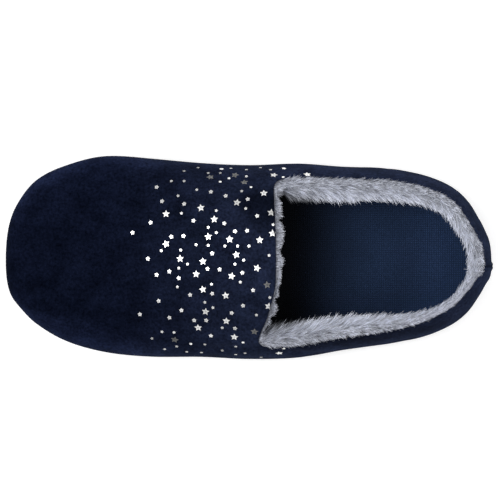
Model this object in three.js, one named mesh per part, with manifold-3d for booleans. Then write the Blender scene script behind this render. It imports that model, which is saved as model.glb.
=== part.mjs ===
// Ballerina slipper, left foot: a soft velour upper, a deep fur collar, a padded insole and a rubber outsole.
// Millimetres, +Z up. The toe points to +X, the outer (little toe) side is +Y, and the sole rests on Z = 0.
import * as THREE from 'three';
import { mergeVertices } from 'three/addons/utils/BufferGeometryUtils.js';
import Module from 'manifold-3d';

const wasm = await Module();
wasm.setup();

// Driving sizes of the slipper.
const length = 254; // without the back seam
const ballWidth = 106;
const instepHeight = 59; // floor to the top of the vamp at the throat
const heelHeight = 50; // floor to the top edge at the back of the heel
const toeHeight = 35; // floor to the top of the toe box, before the toe spring
const bulgeHeight = 15; // floor to the widest line of the upper
const toeSpring = 6;
const heelSpring = 1.2;
const wall = 2.6; // velour, its foam backing and the lining
const gap = 0.3; // between pieces that touch

// Outsole. Its side has a groove all the way round, and bars cross its bottom under heel and forefoot.
const soleThickness = 5;
const treadDepth = 1.4;
const soleInset = 4; // the sole's side, inside the widest line of the upper
const soleChamfer = 1;
const sideGroove = 0.7;
const archDraw = 3; // how far the arch draws the sole in, on the inner side
const archStart = 0.2;
const archEnd = 0.62;
const barLength = 6;
const barGap = 3.2;
const barInset = 4;
const barSink = 0.3; // into the sole's body
const soleSide = [
  { rise: 0.0, chamfer: 2.0, groove: 0 },
  { rise: 0.16, chamfer: 0.4, groove: 0 },
  { rise: 0.24, chamfer: 0, groove: 0 },
  { rise: 0.34, chamfer: 0, groove: 1 },
  { rise: 0.47, chamfer: 0, groove: 1 },
  { rise: 0.58, chamfer: 0, groove: 0 },
  { rise: 0.89, chamfer: 0, groove: 0 },
  { rise: 1.0, chamfer: 1, groove: 0 },
];
const soleCrown = [
  { toMiddle: 0.3, dip: 0 },
  { toMiddle: 1.0, dip: 0 },
];
const treadZones = [
  { from: 0.035, to: 0.3 },
  { from: 0.46, to: 0.965 },
];

// Insole, a soft pad with a rounded shoulder and a shallow dish.
const tuck = 6.5; // how far the upper turns in under itself, down to the sole
const insoleEase = 0.8; // around the insole, inside the upper's turned-in edge
const insoleThickness = 5;
const insoleShoulder = 2.4;
const insoleDish = 0.9;
const insoleSide = [
  { rise: 0.0, shoulder: 0.25 },
  { rise: 0.16, shoulder: 0 },
  { rise: 0.64, shoulder: 0 },
  { rise: 0.9, shoulder: 0.3 },
  { rise: 1.0, shoulder: 1 },
];
const insoleCrown = [
  { toMiddle: 0.2, dip: 0.55 },
  { toMiddle: 0.55, dip: 0.9 },
  { toMiddle: 1.0, dip: 1 },
];

// Fur collar, and the top edge under it.
const collarInset = 6.5; // from the widest line in to the top edge
const waistHeight = 43; // floor to the top edge where it is lowest, behind the vamp
const furPile = 11; // how deep the fur is on the wall
const furRise = 3.2; // above the top edge
const furEase = 0.7; // between the fur's backing and the lining, which bend together
const furFoot = 0.1; // how low the fur reaches on the wall, from 0 at the widest line to 1 at the top edge
const throatFurDepth = 18; // under the vamp, forward of the throat
const throatPile = 3.2;
const cornerReach = 16; // along the throat, from the walls' deep fur to the throat's thin fur
const furBack = [1, 0.66, 0.33, 0];
const furCrown = [
  { pile: -0.22, rise: 0.75 },
  { pile: 0, rise: 1 },
  { pile: 0.6, rise: 0.8 },
  { pile: 0.85, rise: 0.5 },
  { pile: 0.97, rise: 0 },
];
const furFront = [
  { place: 0.1, pile: 1.0 },
  { place: 0.35, pile: 1.05 },
  { place: 0.65, pile: 0.95 },
  { place: 1.0, pile: 0.55 },
];
const lockLength = 9;
const lockRadius = 2.8;
const lockSpacing = 8.5;
const lockVariety = 0.15;
const lockSides = 5;
const lockShow = 0.9; // the share of a lock that stands out of the roll
const lockRows = [
  { place: 0.05, reach: 0.85, droop: 0.15, start: 0.5 },
  { place: 0.4, reach: 0.75, droop: 0.6, start: 1.0 },
];

// Back seam.
const seamHeight = 0.9;
const seamWidth = 5;

// Ends of the last: how far the rounding of toe and heel reaches along it, and how square each rounding is.
const toeReach = 42;
const heelReach = 46;
const toeSquareness = 2.6;
const heelSquareness = 2.7;
const sideSquareness = 2.5;

// Plan of the widest line. ridge is the middle line's place, as a share of the half width, positive outwards.
// medial and lateral are the half widths from there, over those of an ellipse of the same length.
const plan = [
  { share: 0.0, ridge: 0.085, medial: 2.6, lateral: 1.4 },
  { share: 0.008, ridge: 0.075, medial: 1.62, lateral: 0.91 },
  { share: 0.025, ridge: 0.058, medial: 1.4, lateral: 1.02 },
  { share: 0.045, ridge: 0.04, medial: 1.39, lateral: 1.15 },
  { share: 0.07, ridge: 0.025, medial: 1.34, lateral: 1.18 },
  { share: 0.12, ridge: 0.005, medial: 1.215, lateral: 1.145 },
  { share: 0.2, ridge: 0.0, medial: 1.088, lateral: 1.05 },
  { share: 0.3, ridge: -0.015, medial: 0.962, lateral: 1.01 },
  { share: 0.4, ridge: -0.03, medial: 0.916, lateral: 1.04 },
  { share: 0.5, ridge: -0.05, medial: 0.863, lateral: 1.053 },
  { share: 0.6, ridge: -0.05, medial: 0.903, lateral: 1.053 },
  { share: 0.7, ridge: -0.05, medial: 1.012, lateral: 1.124 },
  { share: 0.8, ridge: -0.04, medial: 1.2, lateral: 1.213 },
  { share: 0.88, ridge: -0.02, medial: 1.36, lateral: 1.287 },
  { share: 0.94, ridge: 0.0, medial: 1.585, lateral: 1.354 },
  { share: 0.98, ridge: 0.02, medial: 1.84, lateral: 1.5 },
  { share: 1.0, ridge: 0.03, medial: 2.5, lateral: 2.3 },
];

// Height of the last's ridge, as a mix of the heel's, the instep's and, for what is left, the toe's.
const profile = [
  { share: 0.0, heel: 1.0, instep: 0.0 },
  { share: 0.12, heel: 0.75, instep: 0.25 },
  { share: 0.28, heel: 0.2, instep: 0.8 },
  { share: 0.42, heel: 0.0, instep: 1.0 },
  { share: 0.5, heel: 0.0, instep: 0.93 },
  { share: 0.6, heel: 0.0, instep: 0.7 },
  { share: 0.7, heel: 0.0, instep: 0.42 },
  { share: 0.8, heel: 0.0, instep: 0.18 },
  { share: 0.9, heel: 0.0, instep: 0.03 },
  { share: 1.0, heel: 0.0, instep: 0.0 },
];

// Wall beside the opening: the top edge's place, as a share of collarInset, its height, from the waist's at 0
// to the heel's at 1, and the depth of the fur, as a share of furPile.
const collar = [
  { share: 0.0, medialInset: 0.92, lateralInset: 0.92, rise: 1.0, medialPile: 0.64, lateralPile: 0.64 },
  { share: 0.025, medialInset: 0.93, lateralInset: 1.05, rise: 1.0, medialPile: 0.68, lateralPile: 0.6 },
  { share: 0.04, medialInset: 0.95, lateralInset: 1.17, rise: 0.98, medialPile: 0.75, lateralPile: 0.54 },
  { share: 0.1, medialInset: 0.98, lateralInset: 1.26, rise: 0.86, medialPile: 0.75, lateralPile: 0.5 },
  { share: 0.2, medialInset: 0.98, lateralInset: 1.12, rise: 0.43, medialPile: 0.86, lateralPile: 0.75 },
  { share: 0.3, medialInset: 1.0, lateralInset: 1.15, rise: 0.06, medialPile: 1.08, lateralPile: 0.93 },
  { share: 0.4, medialInset: 1.16, lateralInset: 1.14, rise: 0.0, medialPile: 1.16, lateralPile: 1.05 },
  { share: 0.47, medialInset: 1.32, lateralInset: 1.05, rise: 0.0, medialPile: 1.08, lateralPile: 1.12 },
];
const waistShare = 0.3; // from here to the vamp, the top edge goes over to the last's own height
const vampShare = 0.4;

// Throat of the vamp: the share of the length at each corner, and how far its edge bows back between them.
const throatMedial = 0.432;
const throatLateral = 0.468;
const throatBow = 5.6;
const throatLine = [
  { share: 0.0, bow: 0.0 },
  { share: 0.06, bow: 0.04 },
  { share: 0.16, bow: 0.52 },
  { share: 0.25, bow: 0.79 },
  { share: 0.36, bow: 1.0 },
  { share: 0.45, bow: 0.93 },
  { share: 0.6, bow: 0.7 },
  { share: 0.75, bow: 0.4 },
  { share: 0.9, bow: 0.08 },
  { share: 1.0, bow: 0.0 },
];
const medialCornerRadius = 4.5;
const lateralCornerRadius = 3.5;

// Steps of the meshes.
const slabRibs = 68;
const wallRibs = 13;
const vampRibs = 36;
const tuckRows = 3;
const upperRows = 12;
const rowCrowding = 2.1; // draws the places near the widest line closer together
const rowShape = 0.55;

const materials = {
  velour: { color: 0x1b2236, roughness: 0.95 },
  fur: { color: 0xa9adb8, roughness: 1.0 },
  textile: { color: 0x1f2c47, roughness: 0.9 },
  rubber: { color: 0x15171d, roughness: 0.7 },
};

const halfLength = length / 2;
const halfWidth = ballWidth / 2;
const soleTop = soleThickness + gap;
const along = (share) => share * length - halfLength;
const shareAt = (x) => THREE.MathUtils.clamp((x + halfLength) / length, 0, 1);
const turnAt = (share) => Math.acos(1 - 2 * share);
const lerp = THREE.MathUtils.lerp;

// A smooth curve through one column of a table, read at any share of the length.
function column(table, name, measure = (share) => share) {
  const xs = table.map((row) => measure(row.share));
  const ys = table.map((row) => row[name]);
  const slopes = xs.map((x, i) => {
    const before = Math.max(i - 1, 0);
    const after = Math.min(i + 1, xs.length - 1);
    return (ys[after] - ys[before]) / (xs[after] - xs[before]);
  });
  return (share) => {
    const x = THREE.MathUtils.clamp(measure(share), xs[0], xs[xs.length - 1]);
    let i = 0;
    while (i < xs.length - 2 && x > xs[i + 1]) i += 1;
    const span = xs[i + 1] - xs[i];
    const t = (x - xs[i]) / span;
    const a = ys[i] * (1 + 2 * t) * (1 - t) ** 2 + slopes[i] * span * t * (1 - t) ** 2;
    const b = ys[i + 1] * t * t * (3 - 2 * t) + slopes[i + 1] * span * t * t * (t - 1);
    return a + b;
  };
}

const ridgeShare = column(plan, 'ridge', turnAt);
const fullness = { '-1': column(plan, 'medial', turnAt), 1: column(plan, 'lateral', turnAt) };
const heelPart = column(profile, 'heel');
const instepPart = column(profile, 'instep');
const inset = { '-1': column(collar, 'medialInset'), 1: column(collar, 'lateralInset') };
const pile = { '-1': column(collar, 'medialPile'), 1: column(collar, 'lateralPile') };
const collarRise = column(collar, 'rise');
const throatCurve = column(throatLine, 'bow');

// Lift of the bottom of the sole above the floor.
const springStart = 0.7;
const heelSpringEnd = 0.07;
function lift(share) {
  const toe = Math.max(0, (share - springStart) / (1 - springStart));
  const heel = Math.max(0, (heelSpringEnd - share) / heelSpringEnd);
  return toeSpring * toe ** 2 + heelSpring * heel ** 2;
}

const ridgeY = (share) => halfWidth * ridgeShare(share);
const sideWidth = (share, side) => halfWidth * Math.sin(turnAt(share)) * fullness[side](share);
const round = (inside, reach, power) => {
  const out = Math.max(0, 1 - inside / reach);
  return Math.max(0, 1 - out ** power) ** (1 / power);
};

// Height of the last above the sole's lift, over any point inside the widest line.
const heelEdge = collarInset * collar[0].medialInset;
const heelRise = (heelHeight - bulgeHeight) / round(heelEdge, heelReach, heelSquareness);
function lastHeight(x, y) {
  const share = shareAt(x);
  const toeRise = toeHeight - bulgeHeight;
  const heel = heelPart(share);
  const instep = instepPart(share);
  const rise = heel * heelRise + instep * (instepHeight - bulgeHeight) + (1 - heel - instep) * toeRise;
  const ends =
    round(halfLength - x, toeReach, toeSquareness) * round(halfLength + x, heelReach, heelSquareness);
  const across = y - ridgeY(share);
  const width = Math.max(sideWidth(share, across < 0 ? -1 : 1), 0.01);
  const q = Math.min(1, Math.abs(across) / width);
  return bulgeHeight + rise * ends * (1 - q ** sideSquareness) ** (1 / sideSquareness);
}

// The widest line. u runs once around it: 0 at the heel, a quarter at the outer side, a half at the toe.
function outline(u) {
  const turn = 2 * Math.PI * u;
  const share = (1 - Math.cos(turn)) / 2;
  const side = Math.sin(turn) < 0 ? -1 : 1;
  return new THREE.Vector2(along(share), ridgeY(share) + side * sideWidth(share, side));
}

function outlineInward(u) {
  const step = 0.001;
  const tangent = outline(u + step).sub(outline(u - step)).normalize();
  return new THREE.Vector2(tangent.y, -tangent.x);
}

const insetOutline = (u, distance) => outline(u).addScaledVector(outlineInward(u), distance);
const uAt = (share, side) => (side > 0 ? turnAt(share) : 2 * Math.PI - turnAt(share)) / (2 * Math.PI);
const sideOf = (u) => (u % 1 > 0.5 ? -1 : 1);
const shareOf = (u) => (1 - Math.cos(2 * Math.PI * u)) / 2;

// The top edge in plan: inside the widest line at the walls, and across the vamp at the throat.
const lateralCorner = uAt(throatLateral, 1);
const medialCorner = uAt(throatMedial, -1);
const atThroat = (u) => u > lateralCorner && u < medialCorner;
const wallPoint = (u) => insetOutline(u, collarInset * inset[sideOf(u)](shareOf(u)));
function topEdge(u) {
  if (!atThroat(u)) return wallPoint(u);
  const t = (u - lateralCorner) / (medialCorner - lateralCorner);
  const from = wallPoint(lateralCorner);
  const to = wallPoint(medialCorner);
  const point = from.clone().lerp(to, t);
  const width = from.distanceTo(to);
  const fillet = (distance, radius) =>
    distance < radius ? Math.sqrt(radius ** 2 - (radius - distance) ** 2) : radius;
  const rounding = lerp(lateralCornerRadius, medialCornerRadius, t);
  const near = Math.min(fillet(t * width, rounding), fillet((1 - t) * width, rounding));
  point.x += near - throatBow * throatCurve(t);
  return point;
}

// Scale of the heights above the widest line that brings the top edge to its own even line behind the vamp.
function topScale(u) {
  const share = shareOf(u);
  if (atThroat(u) || share > vampShare) return 1;
  const edge = topEdge(u);
  const line = lerp(waistHeight, heelHeight, collarRise(share));
  const ratio = (line - bulgeHeight) / (lastHeight(edge.x, edge.y) - bulgeHeight);
  return lerp(ratio, 1, THREE.MathUtils.smoothstep(share, waistShare, vampShare));
}

// The sole's edge, drawn in along the arch.
function archInset(u) {
  const t = (shareOf(u) - archStart) / (archEnd - archStart);
  return sideOf(u) < 0 && t > 0 && t < 1 ? archDraw * Math.sin(Math.PI * t) ** 2 : 0;
}

// A point of the upper's outer face. v is -1 at the sole, 0 at the widest line and 1 at the top edge.
function outerFace(u, v) {
  if (v <= 0) {
    const angle = (-v * Math.PI) / 2;
    const place = insetOutline(u, (tuck + archInset(u)) * (1 - Math.cos(angle)));
    const z = lerp(bulgeHeight, soleTop, Math.sin(angle));
    return new THREE.Vector3(place.x, place.y, z + lift(shareAt(outline(u).x)));
  }
  const place = outline(u).lerp(topEdge(u), v ** rowCrowding);
  const rise = (lastHeight(place.x, place.y) - bulgeHeight) * topScale(u);
  return new THREE.Vector3(place.x, place.y, bulgeHeight + rise + lift(shareAt(place.x)));
}

// The inward normal and the upward tangent of the outer face.
function skinFrame(u, v) {
  const du = 0.0015;
  const dv = 0.01;
  const aroundLine = outerFace((u + du + 1) % 1, v).sub(outerFace((u - du + 1) % 1, v));
  const above = Math.min(1, v + dv);
  const below = Math.max(-1, v - dv);
  const up = outerFace(u, above).sub(outerFace(u, below)).normalize();
  const inward = new THREE.Vector3().crossVectors(aroundLine, up).normalize();
  return { inward, up };
}

const underSkin = (u, v, depth) => outerFace(u, v).addScaledVector(skinFrame(u, v).inward, depth);

// The back seam stands proud of the outer face.
function seamLift(u) {
  const away = Math.abs(outline(u).y - outline(0).y);
  return u < 0.1 || u > 0.9 ? seamHeight * Math.max(0, 1 - away / (seamWidth / 2)) : 0;
}

// Ribs around the upper, with five close together at the back seam.
function ribList() {
  const seamEdge = seamWidth / 2;
  const perMm = (side) => 1 / (2 * Math.PI * halfWidth * fullness[side](0));
  const ribs = [0, (seamEdge / 2) * perMm(1), seamEdge * perMm(1)];
  const walls = (from, to, count) => {
    for (let i = 1; i <= count; i += 1) ribs.push(lerp(from, to, i / count));
  };
  walls(ribs[2], lateralCorner, wallRibs);
  walls(lateralCorner, medialCorner, vampRibs);
  const lastWall = 1 - seamEdge * perMm(-1);
  walls(medialCorner, lastWall, wallRibs);
  ribs.push(1 - (seamEdge / 2) * perMm(-1));
  return ribs;
}
const ribs = ribList();

function rowList() {
  const rows = [];
  for (let i = 0; i <= tuckRows; i += 1) rows.push(i / tuckRows - 1);
  for (let i = 1; i <= upperRows; i += 1) {
    rows.push(((1 - Math.cos((Math.PI * i) / upperRows)) / 2) ** rowShape);
  }
  return rows;
}
const rows = rowList();

// A geometry from points and triangles, with coincident points merged and empty triangles dropped.
function meshOf(points, triangles) {
  const geometry = new THREE.BufferGeometry();
  geometry.setAttribute('position', new THREE.Float32BufferAttribute(points.flatMap((p) => p.toArray()), 3));
  geometry.setIndex(triangles);
  const merged = mergeVertices(geometry, 1e-3);
  const index = Array.from(merged.getIndex().array);
  const kept = [];
  for (let i = 0; i < index.length; i += 3) {
    const [a, b, c] = index.slice(i, i + 3);
    if (a !== b && b !== c && c !== a) kept.push(a, b, c);
  }
  merged.setIndex(kept);
  return merged;
}

// Closed loops of points, joined in a ring or capped at both ends. A loop has an even number of points, and
// the second half runs back beside the first.
function loft(loops, ring) {
  const count = loops[0].length;
  const points = loops.flat();
  const triangles = [];
  const steps = ring ? loops.length : loops.length - 1;
  for (let i = 0; i < steps; i += 1) {
    const next = (i + 1) % loops.length;
    for (let j = 0; j < count; j += 1) {
      const k = (j + 1) % count;
      const [a, b, c, d] = [i * count + j, i * count + k, next * count + k, next * count + j];
      triangles.push(a, b, c, a, c, d);
    }
  }
  if (!ring) {
    const lastLoop = count * (loops.length - 1);
    for (let k = 0; k < count / 2 - 1; k += 1) {
      const [a, b, c, d] = [k, k + 1, count - 2 - k, count - 1 - k];
      triangles.push(a, c, b, a, d, c);
      triangles.push(lastLoop + a, lastLoop + b, lastLoop + c, lastLoop + a, lastLoop + c, lastLoop + d);
    }
  }
  return meshOf(points, triangles);
}

function toSolid(geometry) {
  const bare = geometry.clone();
  bare.deleteAttribute('normal');
  bare.deleteAttribute('uv');
  const merged = mergeVertices(bare, 1e-3);
  const vertProperties = new Float32Array(merged.getAttribute('position').array);
  const triVerts = new Uint32Array(merged.getIndex().array);
  return new wasm.Manifold(new wasm.Mesh({ numProp: 3, vertProperties, triVerts }));
}

function toGeometry(solid) {
  const mesh = solid.getMesh();
  const geometry = new THREE.BufferGeometry();
  geometry.setAttribute('position', new THREE.Float32BufferAttribute(mesh.vertProperties, 3));
  geometry.setIndex(Array.from(mesh.triVerts));
  return geometry;
}

const joined = (solids) => solids.reduce((all, solid) => all.add(solid));

// The upper: one wall around the foot, open at the collar and underneath.
const rimRound = wall * 0.3;
function upperGeometry() {
  const loops = ribs.map((u) => {
    const outer = rows.map((v) => underSkin(u, v, -seamLift(u) * Math.min(1, v + 1)));
    const rim = overRim(u, wall / 2, rimRound);
    const inner = rows.map((v) => underSkin(u, v, wall)).reverse();
    return [...outer, rim, ...inner];
  });
  return loft(loops, true);
}

// A point beside the top edge: so deep under the outer face there, and so far above the edge.
function overRim(u, depth, rise) {
  const { inward, up } = skinFrame(u, 1);
  return outerFace(u, 1).addScaledVector(inward, depth).addScaledVector(up, rise);
}

// Depth of the fur, thinner across the throat than on the walls.
function pileAt(u) {
  const onWall = (place) => furPile * pile[sideOf(u)](shareOf(place));
  if (!atThroat(u)) return onWall(u);
  const corner = sideOf(u) > 0 ? lateralCorner : medialCorner;
  const away = topEdge(u).distanceTo(topEdge(corner));
  return lerp(onWall(corner), throatPile, THREE.MathUtils.smoothstep(away, 0, cornerReach));
}

// The lowest place of the fur on a rib: near the widest line at the walls, a set depth under the vamp.
function furEnd(u) {
  const rib = outline(u).distanceTo(topEdge(u));
  return Math.max(furFoot, Math.max(0, 1 - throatFurDepth / rib) ** (1 / rowCrowding));
}

// The fur's section on one rib: up its back against the lining, over the top edge, and down its front.
function furSection(u) {
  const back = wall + furEase;
  const end = furEnd(u);
  const depth = pileAt(u);
  return [
    ...furBack.map((place) => underSkin(u, lerp(1, end, place), back)),
    overRim(u, back, gap),
    overRim(u, wall / 2, rimRound + furEase),
    overRim(u, 0, furEase),
    ...furCrown.map((row) => overRim(u, back + depth * row.pile, furRise * row.rise)),
    ...furFront.map((row) => underSkin(u, lerp(1, end, row.place), back + depth * row.pile)),
  ];
}

// One pointed lock of fur, rooted in the roll and leaning down the wall.
function lockSolid(u, { place, reach, droop }, variety) {
  const v = lerp(1, furEnd(u), place);
  const { inward, up } = skinFrame(u, v);
  const size = (pileAt(u) / furPile) * (1 + lockVariety * variety);
  const root = underSkin(u, v, wall + furEase + pileAt(u) * reach);
  const lean = inward.clone().addScaledVector(up, -droop).normalize();
  const lock = new THREE.ConeGeometry(lockRadius * size, lockLength * size, lockSides);
  lock.applyQuaternion(new THREE.Quaternion().setFromUnitVectors(new THREE.Vector3(0, 1, 0), lean));
  root.addScaledVector(lean, lockLength * size * (lockShow - 0.5));
  lock.translate(root.x, root.y, root.z);
  return toSolid(lock);
}

function furGeometry() {
  const first = ribs.indexOf(medialCorner);
  const last = ribs.indexOf(lateralCorner);
  const wallStrip = [...ribs.slice(first), ...ribs.slice(0, last + 1)];
  const throatStrip = ribs.slice(last - 1, first + 2);
  const rolls = [wallStrip, throatStrip].map((strip) => toSolid(loft(strip.map(furSection), false)));
  const locks = lockRows.flatMap((row) => {
    const places = evenPlaces(lockSpacing, row.start);
    return places.map((u, i) => lockSolid(u, row, Math.sin(7 * i)));
  });
  return toGeometry(joined([...rolls, ...locks]));
}

// Places along the top edge, evenly spaced, the first at a share of the spacing.
function evenPlaces(spacing, start) {
  const places = [];
  let ahead = spacing * start;
  ribs.forEach((from, i) => {
    const to = ribs[i + 1] ?? 1;
    const step = topEdge(from).distanceTo(topEdge(to % 1));
    for (; ahead < step; ahead += spacing) places.push(lerp(from, to, ahead / step));
    ahead -= step;
  });
  return places;
}

// A slab that follows the outline: its bottom, the rows of its side, and its crown, which dips to the
// middle line.
const middleInset = 26; // the ends of the middle line, inside toe and heel
const underRows = [1, 0.3];
function slabGeometry({ low, high, side, crown, dip }) {
  const rows = [
    ...underRows.map((toMiddle) => ({ edge: side[0].edge, toMiddle, height: low })),
    ...side.map(({ edge, rise }) => ({ edge, toMiddle: 0, height: lerp(low, high, rise) })),
    ...crown.map((row) => ({ edge: side.at(-1).edge, toMiddle: row.toMiddle, height: high - dip * row.dip })),
  ];
  const columns = Array.from({ length: slabRibs }, (_, i) => {
    const u = i / slabRibs;
    const x = THREE.MathUtils.clamp(outline(u).x, middleInset - halfLength, halfLength - middleInset);
    const middle = new THREE.Vector2(x, ridgeY(shareAt(x)));
    return rows.map(({ edge, toMiddle, height }) => {
      const place = insetOutline(u, edge + archInset(u)).lerp(middle, toMiddle);
      return new THREE.Vector3(place.x, place.y, height + lift(shareAt(place.x)));
    });
  });
  return sheetAround(columns);
}

// Open columns of points joined side to side around a ring, and closed where their ends meet.
function sheetAround(columns) {
  const count = columns[0].length;
  const triangles = [];
  columns.forEach((points, i) => {
    const next = (i + 1) % columns.length;
    for (let j = 0; j < count - 1; j += 1) {
      const [a, b, c, d] = [i * count + j, i * count + j + 1, next * count + j + 1, next * count + j];
      triangles.push(a, b, c, a, c, d);
    }
  });
  return meshOf(columns.flat(), triangles);
}

// A tread bar across the sole, from one side's inset edge to the other's.
function barSolid(from, to) {
  const corners = [from, to].flatMap((x) => {
    const share = shareAt(x);
    const low = ridgeY(share) - sideWidth(share, -1) + soleInset + barInset;
    const high = ridgeY(share) + sideWidth(share, 1) - soleInset - barInset;
    return [low, high].map((y) => new THREE.Vector3(x, y, lift(share)));
  });
  const [backLow, backHigh, frontLow, frontHigh] = corners;
  const up = new THREE.Vector3(0, 0, treadDepth + barSink);
  const raised = (p) => p.clone().add(up);
  const loops = [
    [backHigh, raised(backHigh), raised(backLow), backLow],
    [frontHigh, raised(frontHigh), raised(frontLow), frontLow],
  ];
  return toSolid(loft(loops, false));
}

function outsoleGeometry() {
  const drawn = ({ chamfer, groove }) => soleInset + chamfer * soleChamfer + groove * sideGroove;
  const body = slabGeometry({
    low: treadDepth,
    high: soleThickness,
    side: soleSide.map((row) => ({ rise: row.rise, edge: drawn(row) })),
    crown: soleCrown,
    dip: 0,
  });
  const bars = treadZones.flatMap((zone) => {
    const pitch = barLength + barGap;
    const count = Math.floor((along(zone.to) - along(zone.from) + barGap) / pitch);
    return Array.from({ length: count }, (_, i) => {
      const from = along(zone.from) + i * pitch;
      return barSolid(from, from + barLength);
    });
  });
  return toGeometry(joined([toSolid(body), ...bars]));
}

function insoleGeometry() {
  const rounded = ({ shoulder }) => tuck + insoleEase + shoulder * insoleShoulder;
  return slabGeometry({
    low: soleTop,
    high: soleTop + insoleThickness,
    side: insoleSide.map((row) => ({ rise: row.rise, edge: rounded(row) })),
    crown: insoleCrown,
    dip: insoleDish,
  });
}

function piece(name, geometry, look) {
  const mesh = new THREE.Mesh(geometry, new THREE.MeshStandardMaterial({ ...look, metalness: 0 }));
  mesh.name = name;
  return mesh;
}

const slipper = new THREE.Group();
slipper.add(piece('outsole', outsoleGeometry(), materials.rubber));
slipper.add(piece('insole', insoleGeometry(), materials.textile));
slipper.add(piece('upper', upperGeometry(), materials.velour));
slipper.add(piece('fur_collar', furGeometry(), materials.fur));

slipper.position.x = seamHeight / 2; // centres the slipper, back seam and all

export default slipper;
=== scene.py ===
# Ballerina slipper, left foot. Metres, +X to the toe, +Y to the outer side, +Z up, the sole on Z = 0.
import math

import bmesh
import bpy
import numpy as np
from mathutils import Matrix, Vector


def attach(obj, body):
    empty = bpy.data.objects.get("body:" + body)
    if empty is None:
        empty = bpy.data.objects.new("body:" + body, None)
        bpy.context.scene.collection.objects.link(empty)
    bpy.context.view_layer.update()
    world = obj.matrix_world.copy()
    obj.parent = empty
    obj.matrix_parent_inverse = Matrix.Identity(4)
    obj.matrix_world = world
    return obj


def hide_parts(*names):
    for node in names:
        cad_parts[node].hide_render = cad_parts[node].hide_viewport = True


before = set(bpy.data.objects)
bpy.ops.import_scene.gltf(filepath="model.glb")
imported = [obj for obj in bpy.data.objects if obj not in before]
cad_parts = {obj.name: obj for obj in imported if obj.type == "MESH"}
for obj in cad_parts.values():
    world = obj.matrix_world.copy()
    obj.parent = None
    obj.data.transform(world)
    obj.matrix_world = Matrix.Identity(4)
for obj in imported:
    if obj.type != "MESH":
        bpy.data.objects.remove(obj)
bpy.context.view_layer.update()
print("frame loaded")

mm = 0.001  # the shape functions work in millimetres, and meshes are made in metres

# The last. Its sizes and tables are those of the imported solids.
last = {
    "length": 254.0,
    "ballWidth": 106.0,
    "instepHeight": 59.0,
    "heelHeight": 50.0,
    "toeHeight": 35.0,
    "bulgeHeight": 15.0,
    "toeSpring": 6.0,
    "springStart": 0.7,
    "heelSpring": 1.2,
    "heelSpringEnd": 0.07,
    "toeReach": 42.0,
    "heelReach": 46.0,
    "toeSquareness": 2.6,
    "heelSquareness": 2.7,
    "sideSquareness": 2.5,
}
planTable = {
    "share": [0.0, 0.008, 0.025, 0.045, 0.07, 0.12, 0.2, 0.3, 0.4, 0.5, 0.6, 0.7, 0.8, 0.88, 0.94, 0.98, 1.0],
    "ridge": [0.085, 0.075, 0.058, 0.04, 0.025, 0.005, 0.0, -0.015, -0.03, -0.05, -0.05, -0.05, -0.04, -0.02,
              0.0, 0.02, 0.03],
    "medial": [2.6, 1.62, 1.4, 1.39, 1.34, 1.215, 1.088, 0.962, 0.916, 0.863, 0.903, 1.012, 1.2, 1.36, 1.585,
               1.84, 2.5],
    "lateral": [1.4, 0.91, 1.02, 1.15, 1.18, 1.145, 1.05, 1.01, 1.04, 1.053, 1.053, 1.124, 1.213, 1.287,
                1.354, 1.5, 2.3],
}
profileTable = {
    "share": [0.0, 0.12, 0.28, 0.42, 0.5, 0.6, 0.7, 0.8, 0.9, 1.0],
    "heel": [1.0, 0.75, 0.2, 0.0, 0.0, 0.0, 0.0, 0.0, 0.0, 0.0],
    "instep": [0.0, 0.25, 0.8, 1.0, 0.93, 0.7, 0.42, 0.18, 0.03, 0.0],
}
collar = {"inset": 6.5, "furPile": 11.0, "waistHeight": 43.0, "waistShare": 0.3, "vampShare": 0.4}
collarTable = {
    "share": [0.0, 0.025, 0.04, 0.1, 0.2, 0.3, 0.4, 0.47],
    "medialInset": [0.92, 0.93, 0.95, 0.98, 0.98, 1.0, 1.16, 1.32],
    "lateralInset": [0.92, 1.05, 1.17, 1.26, 1.12, 1.15, 1.14, 1.05],
    "rise": [1.0, 1.0, 0.98, 0.86, 0.43, 0.06, 0.0, 0.0],
    "medialPile": [0.64, 0.68, 0.75, 0.75, 0.86, 1.08, 1.16, 1.08],
    "lateralPile": [0.64, 0.6, 0.54, 0.5, 0.75, 0.93, 1.05, 1.12],
}
throat = {
    "medial": 0.432,
    "lateral": 0.468,
    "bow": 5.6,
    "medialRadius": 4.5,
    "lateralRadius": 3.5,
}
throatLine = {
    "share": [0.0, 0.06, 0.16, 0.25, 0.36, 0.45, 0.6, 0.75, 0.9, 1.0],
    "bow": [0.0, 0.04, 0.52, 0.79, 1.0, 0.93, 0.7, 0.4, 0.08, 0.0],
}
sole = {
    "thickness": 5.0,
    "treadDepth": 1.4,
    "inset": 4.0,
    "chamfer": 1.0,
    "groove": 0.7,
    "archDraw": 3.0,
    "archStart": 0.2,
    "archEnd": 0.62,
    "gap": 0.3,
}
upper = {
    "wall": 2.6,
    "tuck": 6.5,
    "rowCrowding": 2.1,
    "rowShape": 0.55,
    "rimRound": 0.78,
    "seamHeight": 0.9,
    "seamWidth": 5.0,
    "seamGroove": 0.4,
    "seamGrooveWidth": 0.5,
}

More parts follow.
